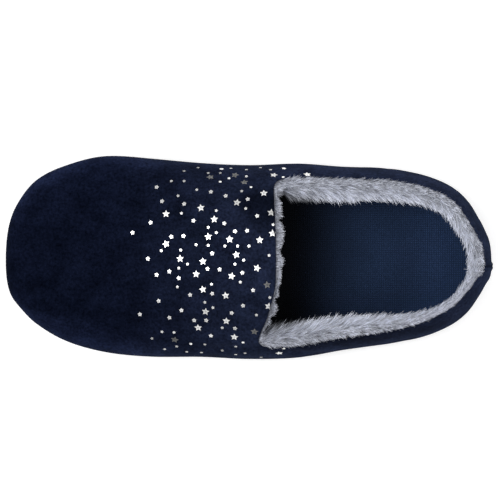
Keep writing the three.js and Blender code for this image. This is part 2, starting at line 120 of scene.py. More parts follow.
stage = {
    "photoPixels": 500,
    "mmPerPixel": 0.5236,
    "outlineCentre": (249.5, 257.5),
    "height": 4.0,
    "sensor": 36.0,
    "sight": 20,
    "floorSide": 3.0,
    "floorZ": -0.0002,
    "floorColour": (0.95, 0.95, 0.95),
    "floorRoughness": 0.9,
    "floorGlow": 0.32,
    "skyStrength": 0.9,
    "lit": (0, 0, 0.02),
    "lights": {"key": ((0.85, -0.15, 1.9), 0.7, 14), "fill": ((-0.9, 0.5, 1.6), 1.2, 5)},
}
cameraPlace = (
    (stage["outlineCentre"][0] - stage["photoPixels"] / 2) * stage["mmPerPixel"] * mm,
    (stage["photoPixels"] / 2 - stage["outlineCentre"][1]) * stage["mmPerPixel"] * mm,
    stage["height"],
)

halfLength = last["length"] / 2
halfWidth = last["ballWidth"] / 2
# The back seam stands behind the heel, so all is shifted to the toe by half of it.
centring = upper["seamHeight"] / 2
soleTop = sole["thickness"] + sole["gap"]


def turnAt(share):
    return np.arccos(1 - 2 * np.clip(share, 0, 1))


def along(share):
    return share * last["length"] - halfLength


def shareAt(x):
    return np.clip((x + halfLength) / last["length"], 0, 1)


def mix(a, b, t):
    return a + (b - a) * t


def smooth(t):
    t = np.clip(t, 0, 1)
    return t * t * (3 - 2 * t)


def readTable(table, name, share, byTurn=False):
    # A smooth curve through one column of a table.
    xs = np.array(table["share"])
    ys = np.array(table[name])
    at = np.clip(share, xs[0], xs[-1])
    if byTurn:
        xs = turnAt(xs)
        at = turnAt(at)
    rowIds = np.arange(len(xs))
    before = np.maximum(rowIds - 1, 0)
    after = np.minimum(rowIds + 1, len(xs) - 1)
    slopes = (ys[after] - ys[before]) / (xs[after] - xs[before])
    i = np.clip(np.searchsorted(xs, at, side="right") - 1, 0, len(xs) - 2)
    span = xs[i + 1] - xs[i]
    t = (at - xs[i]) / span
    start = ys[i] * (1 + 2 * t) + slopes[i] * span * t
    end = ys[i + 1] * (3 - 2 * t) + slopes[i + 1] * span * (t - 1)
    return start * (1 - t) ** 2 + end * t**2


def bySide(side, medial, lateral):
    return np.where(side < 0, medial, lateral)


def readSides(table, name, share, side, byTurn=False):
    return bySide(side, *[readTable(table, edge + name, share, byTurn) for edge in ("medial", "lateral")])


def lift(share):
    toe = np.clip((share - last["springStart"]) / (1 - last["springStart"]), 0, 1)
    heel = np.clip((last["heelSpringEnd"] - share) / last["heelSpringEnd"], 0, 1)
    return last["toeSpring"] * toe**2 + last["heelSpring"] * heel**2


def ridgeY(share):
    return halfWidth * readTable(planTable, "ridge", share, True)


def sideWidth(share, side):
    return halfWidth * np.sin(turnAt(share)) * readSides(planTable, "", share, side, True)


def roundEnd(inside, reach, power):
    out = np.clip(1 - inside / reach, 0, None)
    return np.clip(1 - out**power, 0, None) ** (1 / power)


heelRise = (last["heelHeight"] - last["bulgeHeight"]) / roundEnd(
    collar["inset"] * collarTable["medialInset"][0], last["heelReach"], last["heelSquareness"]
)


def lastHeight(x, y):
    share = shareAt(x)
    heel = readTable(profileTable, "heel", share)
    instep = readTable(profileTable, "instep", share)
    toeRise = last["toeHeight"] - last["bulgeHeight"]
    instepRise = last["instepHeight"] - last["bulgeHeight"]
    rise = heel * heelRise + instep * instepRise + (1 - heel - instep) * toeRise
    toeEnd = roundEnd(halfLength - x, last["toeReach"], last["toeSquareness"])
    heelEnd = roundEnd(halfLength + x, last["heelReach"], last["heelSquareness"])
    across = y - ridgeY(share)
    leastWidth = 0.01
    width = np.maximum(sideWidth(share, np.where(across < 0, -1, 1)), leastWidth)
    q = np.clip(np.abs(across) / width, 0, 1)
    side = (1 - q ** last["sideSquareness"]) ** (1 / last["sideSquareness"])
    return last["bulgeHeight"] + rise * toeEnd * heelEnd * side


# The widest line. u runs once around it: 0 at the heel, a quarter at the outer side, a half at the toe.
def shareOf(u):
    return (1 - np.cos(2 * math.pi * u)) / 2


def sideOf(u):
    return np.where(np.mod(u, 1) > 0.5, -1, 1)


def outline(u):
    share = shareOf(u)
    side = np.where(np.sin(2 * math.pi * u) < 0, -1, 1)
    return np.stack([along(share), ridgeY(share) + side * sideWidth(share, side)], -1)


def insetOutline(u, distance):
    step = 0.001
    tangent = outline(u + step) - outline(u - step)
    tangent /= np.linalg.norm(tangent, axis=-1, keepdims=True)
    inward = np.stack([tangent[..., 1], -tangent[..., 0]], -1)
    return outline(u) + inward * np.asarray(distance)[..., None]


def uAt(share, side):
    turn = turnAt(share)
    return (turn if side > 0 else 2 * math.pi - turn) / (2 * math.pi)


lateralCorner = float(uAt(throat["lateral"], 1))
medialCorner = float(uAt(throat["medial"], -1))
corners = np.array([lateralCorner, medialCorner])


def atThroat(u):
    return (u > lateralCorner) & (u < medialCorner)


def collarInset(u):
    return collar["inset"] * readSides(collarTable, "Inset", shareOf(u), sideOf(u))


def topEdge(u):
    # Beside the opening it lies inside the widest line, and at the throat it crosses the vamp.
    u = np.asarray(u, float)
    wallPoint = insetOutline(u, collarInset(u))
    t = np.clip((u - lateralCorner) / (medialCorner - lateralCorner), 0, 1)
    ends = insetOutline(corners, collarInset(corners))
    point = ends[0] + (ends[1] - ends[0]) * t[..., None]
    width = np.linalg.norm(ends[1] - ends[0])
    rounding = mix(throat["lateralRadius"], throat["medialRadius"], t)

    def fillet(distance):
        return np.sqrt(rounding**2 - np.clip(rounding - distance, 0, None) ** 2)

    near = np.minimum(fillet(t * width), fillet((1 - t) * width))
    point[..., 0] += near - throat["bow"] * readTable(throatLine, "bow", t)
    return np.where(atThroat(u)[..., None], point, wallPoint)


def archInset(u):
    t = np.clip((shareOf(u) - sole["archStart"]) / (sole["archEnd"] - sole["archStart"]), 0, 1)
    return np.where(sideOf(u) < 0, sole["archDraw"] * np.sin(math.pi * t) ** 2, 0)


def topScale(u):
    # Brings the top edge to its own even line behind the vamp.
    share = shareOf(u)
    edge = topEdge(u)
    line = mix(collar["waistHeight"], last["heelHeight"], readTable(collarTable, "rise", share))
    ratio = (line - last["bulgeHeight"]) / (lastHeight(edge[..., 0], edge[..., 1]) - last["bulgeHeight"])
    fade = smooth((share - collar["waistShare"]) / (collar["vampShare"] - collar["waistShare"]))
    return np.where(atThroat(u), 1, mix(ratio, 1, fade))


def outerFace(u, v):
    # v is -1 at the sole, 0 at the widest line and 1 at the top edge.
    u, v = np.broadcast_arrays(np.asarray(u, float), np.asarray(v, float))
    angle = np.clip(-v, 0, 1) * math.pi / 2
    low = insetOutline(u, (upper["tuck"] + archInset(u)) * (1 - np.cos(angle)))
    lowZ = mix(last["bulgeHeight"], soleTop, np.sin(angle)) + lift(shareAt(outline(u)[..., 0]))
    high = outline(u)
    high = high + (topEdge(u) - high) * (np.clip(v, 0, 1) ** upper["rowCrowding"])[..., None]
    rise = (lastHeight(high[..., 0], high[..., 1]) - last["bulgeHeight"]) * topScale(u)
    highZ = last["bulgeHeight"] + rise + lift(shareAt(high[..., 0]))
    place = np.where((v <= 0)[..., None], low, high)
    return np.concatenate([place, np.where(v <= 0, lowZ, highZ)[..., None]], -1)


def unit(vectors):
    tiny = 1e-12  # nothing is divided by zero
    return vectors / np.maximum(np.linalg.norm(vectors, axis=-1, keepdims=True), tiny)


def skinFrame(u, v):
    # The inward normal and the upward tangent of the outer face.
    u, v = np.broadcast_arrays(np.asarray(u, float), np.asarray(v, float))
    stepU = 0.0015
    stepV = 0.01
    around = outerFace(np.mod(u + stepU, 1), v) - outerFace(np.mod(u - stepU, 1), v)
    up = unit(outerFace(u, np.minimum(v + stepV, 1)) - outerFace(u, np.maximum(v - stepV, -1)))
    return unit(np.cross(around, up)), up


def underSkin(u, v, depth):
    inward, _ = skinFrame(u, v)
    return outerFace(u, v) + inward * np.asarray(depth, float)[..., None]


def overRim(u, depth, rise):
    # Beside the top edge: so deep under the outer face there, and so far above the edge.
    inward, up = skinFrame(u, np.ones_like(u))
    depth = np.broadcast_to(np.asarray(depth, float), np.shape(u))
    rise = np.broadcast_to(np.asarray(rise, float), np.shape(u))
    return outerFace(u, np.ones_like(u)) + inward * depth[..., None] + up * rise[..., None]


# Meshes, materials and node trees.
def linkPiece(name, mesh):
    piece = bpy.data.objects.new(name, mesh)
    bpy.context.scene.collection.objects.link(piece)
    return piece


def makeMesh(name, points, faces, materials=(), faceSlots=None):
    mesh = bpy.data.meshes.new(name)
    places = np.array(points, float).reshape(-1, 3) + [centring, 0, 0]
    mesh.from_pydata((places * mm).tolist(), [], [list(map(int, face)) for face in faces])
    for material in materials:
        mesh.materials.append(material)
    if faceSlots is not None:
        mesh.polygons.foreach_set("material_index", np.asarray(faceSlots, np.int32))
    mesh.polygons.foreach_set("use_smooth", np.full(len(mesh.polygons), True))
    mesh.update()
    return linkPiece(name, mesh)


def ringFaces(columns, rows, closeAround=True, closeRows=False):
    # Quads between columns of points; rows run the same way in each.
    i = np.arange(columns if closeAround else columns - 1)[:, None]
    j = np.arange(rows if closeRows else rows - 1)[None, :]
    nextI = (i + 1) % columns
    nextJ = (j + 1) % rows
    quads = np.stack([i * rows + j, i * rows + nextJ, nextI * rows + nextJ, nextI * rows + j], -1)
    return quads.reshape(-1, 4)


def addValues(piece, name, values, kind="FLOAT"):
    # A number for each point, or a vector where the kind is FLOAT_VECTOR.
    attribute = piece.data.attributes.new(name, kind, "POINT")
    field = "value" if kind == "FLOAT" else "vector"
    attribute.data.foreach_set(field, np.asarray(values, np.float32).ravel())


def dropAttributes(piece, *names):
    for name in names:
        if name in piece.data.attributes:
            piece.data.attributes.remove(piece.data.attributes[name])


class Nodes:
    # Short ways to add nodes to a tree, for materials and for Geometry Nodes.
    def add(self, kind, *links, **settings):
        # Links are pairs of an input's name or number and what goes in it: a socket, a value, or None for
        # nothing.
        made = self.tree.nodes.new(kind)
        for key, value in settings.items():
            setattr(made, key, value)
        for target, source in links:
            if isinstance(source, bpy.types.NodeSocket):
                self.tree.links.new(source, made.inputs[target])
            elif source is not None:
                made.inputs[target].default_value = source
        return made

    def math(self, operation, first, second=None):
        return self.add("ShaderNodeMath", (0, first), (1, second), operation=operation).outputs[0]

    def vector(self, operation, first, second):
        target = "Scale" if operation == "SCALE" else 1
        return self.add("ShaderNodeVectorMath", (0, first), (target, second), operation=operation).outputs[0]


class Finish(Nodes):
    # A material with one Principled shader.
    def __init__(self, name, colour, roughness, **sockets):
        self.material = bpy.data.materials.new(name)
        self.material.use_nodes = True
        self.tree = self.material.node_tree
        self.shader = self.tree.nodes["Principled BSDF"]
        self.shader.inputs["Base Color"].default_value = (*colour, 1)
        self.shader.inputs["Roughness"].default_value = roughness
        for socket, value in sockets.items():
            self.shader.inputs[socket.replace("_", " ")].default_value = value

    def ends(self, **sockets):
        # Leads what the nodes make to the shader, and gives the material.
        for socket, source in sockets.items():
            self.tree.links.new(source, self.shader.inputs[socket.replace("_", " ")])
        return self.material

    def objectPlace(self, scale=(1, 1, 1)):
        place = self.add("ShaderNodeTexCoord").outputs["Object"]
        return self.add("ShaderNodeMapping", ("Vector", place), ("Scale", scale)).outputs["Vector"]

    def split(self):
        return self.add("ShaderNodeSeparateXYZ", ("Vector", self.objectPlace())).outputs

    def attribute(self, name):
        return self.add("ShaderNodeAttribute", attribute_name=name).outputs["Fac"]

    def noise(self, perMetre, detail=4.0, roughness=0.55, stretch=(1, 1, 1)):
        made = self.add("ShaderNodeTexNoise", ("Vector", self.objectPlace(stretch)), ("Scale", perMetre),
                        ("Detail", detail), ("Roughness", roughness))
        return made.outputs["Fac"]

    def product(self, *factors):
        result = factors[0]
        for factor in factors[1:]:
            result = self.math("MULTIPLY", result, factor)
        return result

    def spread(self, noise, contrast):
        # Noise about a half becomes a factor about one.
        made = self.add("ShaderNodeMath", (0, noise), (1, 2 * contrast), (2, 1 - contrast),
                        operation="MULTIPLY_ADD")
        return made.outputs[0]

    def range(self, value, fromMin, fromMax, toMin, toMax):
        made = self.add("ShaderNodeMapRange", ("Value", value), (1, fromMin), (2, fromMax), (3, toMin),
                        (4, toMax), interpolation_type="SMOOTHSTEP")
        return made.outputs["Result"]

    def ramp(self, value, stops):
        # The first two stops are the ramp's ends.
        made = self.add("ShaderNodeValToRGB", ("Fac", value))
        bar = made.color_ramp.elements
        for i, (position, colour) in enumerate(stops):
            stop = bar[i] if i < 2 else bar.new(position)
            stop.position = position
            stop.color = (*colour, 1)
        return made.outputs["Color"]

    def tint(self, colour, factor):
        return self.vector("SCALE", colour, factor)

    def bump(self, height, distance, strength=1.0, after=None):
        made = self.add("ShaderNodeBump", ("Height", height), ("Distance", distance), ("Strength", strength),
                        ("Normal", after))
        return made.outputs["Normal"]


# Velour: short nap, brushed this way and that; a painted sheen towards the throat, painted light on the inner
# side.
# A noise is its marks per metre, detail and roughness, and a bump its depth and strength.
velour = {
    "toeColour": (0.0025, 0.0037, 0.0099),
    "throatColour": (0.0084, 0.0117, 0.0258),
    "roughness": 0.95,
    "sheen": 0.02,
    "sheenRoughness": 0.4,
    "sheenTint": (0.6, 0.7, 1.0, 1.0),
    "lengthX": (0.078, -0.032),
    "acrossY": (-0.040, 0.053),
    "paintedSideLight": (1.26, 1.05),
    "nap": (700.0, 3.0, 0.75),
    "napContrast": 1.4,
    "napBump": (0.00022, 0.8),
    "brush": (75.0, 5.0, 0.62),
    "brushStretch": (1, 1.5, 1),
    "brushContrast": 1.05,
    "brushBump": (0.0008, 0.4),
    "seamY": 0.0045,
    "seamX": -0.115,
    "seamReach": (0.0003, 0.0011),
    "seamShade": 0.55,
    "rimX": (0.0, -0.012),
    "rimY": (0.025, 0.040),
    "rimZ": (0.028, 0.042),
    "rimShade": 0.5,
    "darkPlace": (-0.0065, -0.0265, 0.0),
    "darkReach": (0.005, 0.017),
    "darkShade": 0.32,
    "toeSideX": (0.02, 0.06),
    "toeSideY": (0.012, 0.035),
    "toeSideZ": (0.036, 0.026),
    "toeSidePaintedLight": 1.3,
}


def velourFinish():
    f = Finish("velour_navy", velour["toeColour"], velour["roughness"], Sheen_Weight=velour["sheen"],
               Sheen_Roughness=velour["sheenRoughness"], Sheen_Tint=velour["sheenTint"],
               Specular_IOR_Level=0.0)
    split = f.split()
    # Painted sheen: the colour runs from the darker toe to the lighter throat.
    paintedSheenAlong = f.range(split["X"], *velour["lengthX"], 0, 1)
    colour = f.ramp(paintedSheenAlong, [(0.0, velour["toeColour"]), (1.0, velour["throatColour"])])
    # Painted light: lighter on the inner side and darker on the outer side.
    across = f.range(split["Y"], *velour["acrossY"], *velour["paintedSideLight"])
    # Painted shade in the back seam's groove, behind the heel only.
    fromSeam = f.math("ABSOLUTE", f.math("SUBTRACT", split["Y"], velour["seamY"]))
    seam = f.range(fromSeam, *velour["seamReach"], velour["seamShade"], 1.0)
    seam = f.math("MAXIMUM", seam, f.math("GREATER_THAN", split["X"], velour["seamX"]))
    # The fur's own shadow on the outer side.
    underFur = f.product(*[f.range(split[axis], *velour["rim" + axis], 0.0, 1.0) for axis in "XYZ"])
    rim = f.range(underFur, 0.0, 1.0, 1.0, velour["rimShade"])
    # A darker place on the vamp at the inner end of the throat.
    fromDark = f.add("ShaderNodeVectorMath", (0, f.objectPlace((1, 1, 0))), (1, velour["darkPlace"]),
                     operation="DISTANCE")
    dark = f.range(fromDark.outputs["Value"], *velour["darkReach"], velour["darkShade"], 1.0)
    # A painted highlight where the toe's sides fall away, for the light the nap catches there.
    fromMiddle = {"X": split["X"], "Y": f.math("ABSOLUTE", split["Y"]), "Z": split["Z"]}
    sides = [f.range(fromMiddle[axis], *velour["toeSide" + axis], 0.0, 1.0) for axis in "XYZ"]
    toeSide = f.math("ADD", f.math("MULTIPLY", f.product(*sides), velour["toeSidePaintedLight"]), 1.0)
    brushed = f.noise(*velour["brush"], velour["brushStretch"])
    nap = f.noise(*velour["nap"])
    worn = f.product(f.spread(brushed, velour["brushContrast"]), f.spread(nap, velour["napContrast"]))
    return f.ends(
        Base_Color=f.tint(colour, f.product(across, seam, rim, dark, toeSide, worn)),
        Normal=f.bump(nap, *velour["napBump"], f.bump(brushed, *velour["brushBump"])),
    )


lining = {
    "colour": (0.0035, 0.0045, 0.009),
    "roughness": 0.95,
    "fuzz": (1500, 3),
    "fuzzBump": (0.0002, 0.6),
    "cloud": (300, 3),
    "cloudContrast": 0.8,
}


def liningFinish():
    f = Finish("lining_dark", lining["colour"], lining["roughness"])
    return f.ends(
        Base_Color=f.tint(lining["colour"], f.spread(f.noise(*lining["cloud"]), lining["cloudContrast"])),
        Normal=f.bump(f.noise(*lining["fuzz"]), *lining["fuzzBump"]),
    )


# Upper: the fine mesh of the wall, with its back seam and the soft creases. A crease runs between two
# places, given by their u and their v, and has a depth and a width.
creases = [
    ((0.405, 0.60), (0.62, 0.60), 0.5, 4.0),
    ((0.425, 0.555), (0.42, 0.45), 0.4, 5.0),
    ((0.245, 0.30), (0.95, 0.55), 0.8, 3.0),
    ((0.74, 0.70), (0.97, 0.6), 0.9, 3.2),
    ((0.765, 0.79), (0.9, 0.25), 0.7, 3.5),
    ((0.225, 0.20), (0.85, 0.3), 0.8, 3.0),
    ((0.175, 0.165), (0.9, 0.35), 0.4, 3.0),
    ((0.045, 0.06), (0.9, 0.3), 0.4, 2.5),
    ((0.955, 0.94), (0.9, 0.3), 0.4, 2.5),
    ((0.12, 0.16), (0.2, -0.3), 0.5, 3.0),
    ((0.86, 0.83), (0.2, -0.3), 0.5, 3.0),
]
creaseShape = {"shoulder": 0.45, "shoulderAt": 1.7, "ends": (0.08, 0.92), "rimFade": 0.12, "soleFade": 0.4}
upperSteps = {"seam": 10, "wall": 150, "vamp": 250, "tuck": 12, "rise": 70, "rim": 5, "inside": 40}


def seamReach(side):
    atHeel = 1e-6  # a share just past the heel's end
    heelFullness = float(sideWidth(atHeel, side) / (halfWidth * math.sin(float(turnAt(atHeel)))))
    return upper["seamWidth"] / 2 / (2 * math.pi * halfWidth * heelFullness)


def upperRibs():
    steps = upperSteps
    stops = [0, seamReach(1), lateralCorner, medialCorner, 1 - seamReach(-1), 1]
    counts = [steps["seam"], steps["wall"], steps["vamp"], steps["wall"], steps["seam"]]
    spans = [np.linspace(a, b, n, endpoint=False) for a, b, n in zip(stops, stops[1:], counts)]
    return np.concatenate(spans)


def seamLift(u):
    away = np.abs(outline(u)[..., 1] - outline(np.zeros(1))[..., 1])
    ridge = upper["seamHeight"] * np.clip(1 - (away / (upper["seamWidth"] / 2)) ** 2, 0, None)
    groove = upper["seamGroove"] * np.exp(-((away / upper["seamGrooveWidth"]) ** 2))
    return np.where(shareOf(u) < 0.5, np.maximum(ridge - groove, 0), 0)


def creaseLift(points):
    total = np.zeros(points.shape[:-1])
    for us, vs, depth, width in creases:
        start, end = outerFace(np.array(us), np.array(vs))
        run = end - start
        t = np.clip((points - start) @ run / (run @ run), 0, 1)
        away = np.linalg.norm(points - (start + t[..., None] * run), axis=-1) / width
        trough = np.exp(-(away**2))
        shoulders = np.exp(-((away - creaseShape["shoulderAt"]) ** 2))
        fade = np.sin(math.pi * np.clip(t, *creaseShape["ends"]))
        total += depth * (creaseShape["shoulder"] * shoulders - trough) * fade
    return total


def makeUpper(velourLook, liningLook):
    ribs = upperRibs()
    steps = np.arange(1, upperSteps["rise"] + 1) / upperSteps["rise"]
    rise = ((1 - np.cos(math.pi * steps)) / 2) ** upper["rowShape"]
    outerRows = np.concatenate([np.linspace(-1, 0, upperSteps["tuck"] + 1), rise])
    innerRows = np.linspace(1, -1, upperSteps["inside"])
    u = ribs[:, None]
    skin = outerFace(u, outerRows[None, :])
    inward, _ = skinFrame(u, outerRows[None, :])
    proud = seamLift(u) * np.clip(outerRows + 1, 0, 1)[None, :]
    rimFade = smooth((1 - outerRows) / creaseShape["rimFade"])[None, :]
    edgeFade = rimFade * smooth((outerRows + 1) / creaseShape["soleFade"])[None, :]
    outer = skin - inward * (proud + creaseLift(skin) * edgeFade)[..., None]
    rimAngles = np.linspace(0, math.pi, upperSteps["rim"] + 2)[1:-1]
    rim = np.stack([overRim(ribs, upper["wall"] / 2 * (1 - math.cos(a)), upper["rimRound"] * math.sin(a))
                    for a in rimAngles], 1)
    inner = underSkin(u, innerRows[None, :], np.full((1, len(innerRows)), upper["wall"]))
    grid = np.concatenate([outer, rim, inner], 1)
    count = grid.shape[1]
    faces = ringFaces(len(ribs), count, True, True)
    outside = np.tile(np.arange(count) < len(outerRows) + len(rimAngles), len(ribs))
    return makeMesh("upper_velour", grid, faces, [velourLook, liningLook], np.where(outside, 0, 1))


upperPiece = makeUpper(velourFinish(), liningFinish())
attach(upperPiece, "root")
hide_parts("upper")
print("upper made")

# Outsole and insole: slabs that follow the outline.
slabSteps = {
    "columns": 360,
    "middleInset": 26.0,
    "under": [1.0, 0.6, 0.3, 0.12],
    "soleCrown": [0.12, 0.3, 0.6, 1.0],
    "insoleCrown": 16,
    "insoleCrowding": 1.5,
}
soleSide = {
    "rise": [0.0, 0.08, 0.16, 0.24, 0.3, 0.34, 0.47, 0.52, 0.58, 0.89, 0.96, 1.0],
    "chamfer": [2.0, 1.2, 0.5, 0, 0, 0, 0, 0, 0, 0, 0.35, 1.0],
    "groove": [0, 0, 0, 0, 0.3, 1, 1, 0.3, 0, 0, 0, 0],
}
insole = {
    "thickness": 5.0,
    "ease": 0.8,
    "shoulder": 2.4,
    "dish": 0.9,
    "rise": [0.0, 0.08, 0.16, 0.4, 0.64, 0.76, 0.86, 0.94, 0.985, 1.0],
    "draw": [0.25, 0.08, 0, 0, 0, 0.06, 0.2, 0.42, 0.7, 1.0],
    "crown": [0, 0.2, 0.55, 1.0],
    "dip": [0, 0.55, 0.9, 1.0],
}


def makeSlab(name, low, high, rises, edges, crown, dips, look):
    # Rows run from the middle below, over the side, to the middle on top.
    u = np.arange(slabSteps["columns"]) / slabSteps["columns"]
    middleReach = halfLength - slabSteps["middleInset"]
    middleX = np.clip(outline(u)[:, 0], -middleReach, middleReach)
    middle = np.stack([middleX, ridgeY(shareAt(middleX))], -1)
    under = [(edges[0], t, low) for t in slabSteps["under"]]
    side = [(edge, 0.0, mix(low, high, rise)) for edge, rise in zip(edges, rises)]
    top = [(edges[-1], t, high - dip) for t, dip in zip(crown, dips)]
    columns = []
    for edge, toMiddle, height in under + side + top:
        place = insetOutline(u, edge + archInset(u))
        place = place + (middle - place) * toMiddle
        z = height + lift(shareAt(place[:, 0]))
        columns.append(np.concatenate([place, z[:, None]], -1))
    grid = np.stack(columns, 1)
    piece = makeMesh(name, grid, ringFaces(*grid.shape[:2]), [look])
    mergeClose(piece)
    return piece


def mergeClose(piece, distance=0.00001):
    bm = bmesh.new()
    bm.from_mesh(piece.data)
    bmesh.ops.remove_doubles(bm, verts=bm.verts, dist=distance)
    bmesh.ops.dissolve_degenerate(bm, edges=bm.edges, dist=distance / 10)
    bm.to_mesh(piece.data)
    bm.free()


knit = {
    "colour": (0.0113, 0.0228, 0.055),
    "roughness": 0.92,
    "sheen": 0.03,
    "sheenTint": (0.5, 0.7, 1.0, 1.0),
    "gloss": 0.1,
    "pitch": 0.00115,
    "loopContrast": 0.25,
    "loopBump": (0.00012, 0.8),
    "fuzz": (900, 4, 0.6),
    "fuzzContrast": 0.35,
    "fuzzBump": (0.0002, 0.4),
    "cloud": (38, 3, 0.5),
    "cloudContrast": 0.35,
    "heelX": (-0.075, -0.105),
    "heelPaintedLight": 1.65,
    "shadeX": (-0.016, -0.075),
    "vampPaintedShade": 0.03,
}


def knitFinish():
    # A fine knit: loops in rows along the foot and across it; painted shade under the vamp, painted light at
    # the heel.
    f = Finish("insole_knit", knit["colour"], knit["roughness"], Sheen_Weight=knit["sheen"],
               Sheen_Tint=knit["sheenTint"], Specular_IOR_Level=knit["gloss"])
    split = f.split()
    turns = 2 * math.pi / knit["pitch"]
    waves = [f.math("ADD", f.math("SINE", f.math("MULTIPLY", split[axis], turns)), 1.0) for axis in "XY"]
    loops = f.product(*waves)
    fuzz = f.noise(*knit["fuzz"])
    row = f.spread(f.math("MULTIPLY", loops, 0.5), knit["loopContrast"])
    # Painted shade under the vamp, and painted light towards the heel.
    front = f.range(split["X"], *knit["shadeX"], knit["vampPaintedShade"], 1.0)
    heel = f.range(split["X"], *knit["heelX"], 1.0, knit["heelPaintedLight"])
    cloud = f.spread(f.noise(*knit["cloud"]), knit["cloudContrast"])
    shade = f.product(row, cloud, f.spread(fuzz, knit["fuzzContrast"]), front, heel)
    return f.ends(
        Base_Color=f.tint(knit["colour"], shade),
        Normal=f.bump(loops, *knit["loopBump"], f.bump(fuzz, *knit["fuzzBump"])),
    )


rubber = {
    "colour": (0.011, 0.012, 0.016),
    "roughness": 0.62,
    "marks": (120, 4, 0.6),
    "marksContrast": 0.35,
    "marksRoughness": (0.2, 0.8, 0.5, 0.75),
    "grain": (1400, 3, 0.6),
    "grainBump": (0.00008, 0.7),
}


def rubberFinish():
    f = Finish("rubber_black", rubber["colour"], rubber["roughness"])
    marks = f.noise(*rubber["marks"])
    return f.ends(
        Base_Color=f.tint(rubber["colour"], f.spread(marks, rubber["marksContrast"])),
        Normal=f.bump(f.noise(*rubber["grain"]), *rubber["grainBump"]),
        Roughness=f.range(marks, *rubber["marksRoughness"]),
    )


rubberLook = rubberFinish()


def makeSoleBody():
    edges = [sole["inset"] + c * sole["chamfer"] + g * sole["groove"]
             for c, g in zip(soleSide["chamfer"], soleSide["groove"])]
    crown = slabSteps["soleCrown"]
    return makeSlab("outsole_rubber", sole["treadDepth"], sole["thickness"], soleSide["rise"], edges, crown,
                    [0] * len(crown), rubberLook)


def makeInsole():
    edges = [upper["tuck"] + insole["ease"] + d * insole["shoulder"] for d in insole["draw"]]
    crown = np.linspace(0, 1, slabSteps["insoleCrown"] + 1)[1:] ** slabSteps["insoleCrowding"]
    dips = np.interp(crown, insole["crown"], insole["dip"]) * insole["dish"]
    return makeSlab("insole_pad", soleTop, soleTop + insole["thickness"], insole["rise"], edges, crown, dips,
                    knitFinish())


solePiece = makeSoleBody()
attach(solePiece, "root")
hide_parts("outsole")
insolePiece = makeInsole()
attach(insolePiece, "root")
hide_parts("insole")
print("sole and insole made")


class Tree(Nodes):
    # A Geometry Nodes tree with named inputs.
    def __init__(self, name, **inputs):
        self.tree = bpy.data.node_groups.new(name, "GeometryNodeTree")
        kinds = {"Geometry": "Geometry", **inputs}
        self.sockets = {label: self.socket(label, kind) for label, kind in kinds.items()}
        self.socket("Geometry", "Geometry", "OUTPUT")
        self.start = self.tree.nodes.new("NodeGroupInput")
        self.end = self.tree.nodes.new("NodeGroupOutput")

    def socket(self, label, kind, way="INPUT"):
        made = self.tree.interface.new_socket(name=label, in_out=way, socket_type="NodeSocket" + kind)
        return made.identifier

    def given(self, label):
        return self.start.outputs[label]

    def named(self, name, kind="FLOAT"):
        made = self.add("GeometryNodeInputNamedAttribute", ("Name", name), data_type=kind)
        return made.outputs["Attribute"]

    def points(self):
        return self.add("GeometryNodeMeshToPoints", ("Mesh", self.given("Geometry"))).outputs[0]

    def combine(self, x, y, z):
        return self.add("ShaderNodeCombineXYZ", ("X", x), ("Y", y), ("Z", z)).outputs[0]

    def noise(self, place, perMetre, detail):
        made = self.add("ShaderNodeTexNoise", ("Vector", place), ("Scale", perMetre), ("Detail", detail))
        return made.outputs

    def random(self, low, high, seed):
        made = self.add("FunctionNodeRandomValue", (2, low), (3, high), ("Seed", seed), data_type="FLOAT")
        return made.outputs[1]

    def shapes(self, store):
        made = self.add("GeometryNodeCollectionInfo", ("Collection", store), ("Separate Children", True),
                        ("Reset Children", True))
        return made.outputs[0]

    def stance(self, up, facing, axis, angle):
        # A turn that stands Z along up, brings the named axis round to facing, and twists it by the angle.
        stood = self.add("FunctionNodeAlignRotationToVector", ("Vector", up), axis="Z")
        faced = self.add("FunctionNodeAlignRotationToVector", ("Rotation", stood.outputs[0]),
                         ("Vector", facing), axis=axis, pivot_axis="Z")
        twist = self.add("FunctionNodeAxisAngleToRotation", ("Axis", (0, 0, 1)), ("Angle", angle))
        made = self.add("FunctionNodeRotateRotation", ("Rotation", faced.outputs[0]),
                        ("Rotate By", twist.outputs[0]), rotation_space="LOCAL")
        return made.outputs[0]

    def instances(self, points, shape, rotation, scale, *more):
        made = self.add("GeometryNodeInstanceOnPoints", ("Points", points), ("Instance", shape),
                        ("Rotation", rotation), ("Scale", scale), *more)
        return made.outputs[0]

    def finishWith(self, geometry, material):
        real = self.add("GeometryNodeRealizeInstances", ("Geometry", geometry))
        dressed = self.add("GeometryNodeSetMaterial", ("Geometry", real.outputs[0]), ("Material", material))
        self.tree.links.new(dressed.outputs[0], self.end.inputs[0])

    def grow(self, host, name, **values):
        # Runs the tree on the host, makes its result a plain mesh of its own, and removes the host.
        modifier = host.modifiers.new(name, "NODES")
        modifier.node_group = self.tree
        for label, value in values.items():
            modifier[self.sockets[label]] = value
        host.update_tag()
        bpy.context.view_layer.update()
        evaluated = host.evaluated_get(bpy.context.evaluated_depsgraph_get())
        piece = linkPiece(name, bpy.data.meshes.new_from_object(evaluated))
        bpy.data.objects.remove(host)
        return piece


# Tread bars, one under another from heel to toe, each as wide as the sole there.
tread = {
    "length": 6.0,
    "gap": 3.2,
    "inset": 4.0,
    "sink": 0.3,
    "zones": [(0.035, 0.3), (0.46, 0.965)],
    "bevel": 0.0004,
    "bevelSteps": 2,
    "cuts": (3, 24, 2),
}


def barPlaces():
    pitch = tread["length"] + tread["gap"]
    places = []
    for start, end in tread["zones"]:
        count = int((along(end) - along(start) + tread["gap"]) / pitch)
        places += [along(start) + i * pitch + tread["length"] / 2 for i in range(count)]
    return np.array(places)


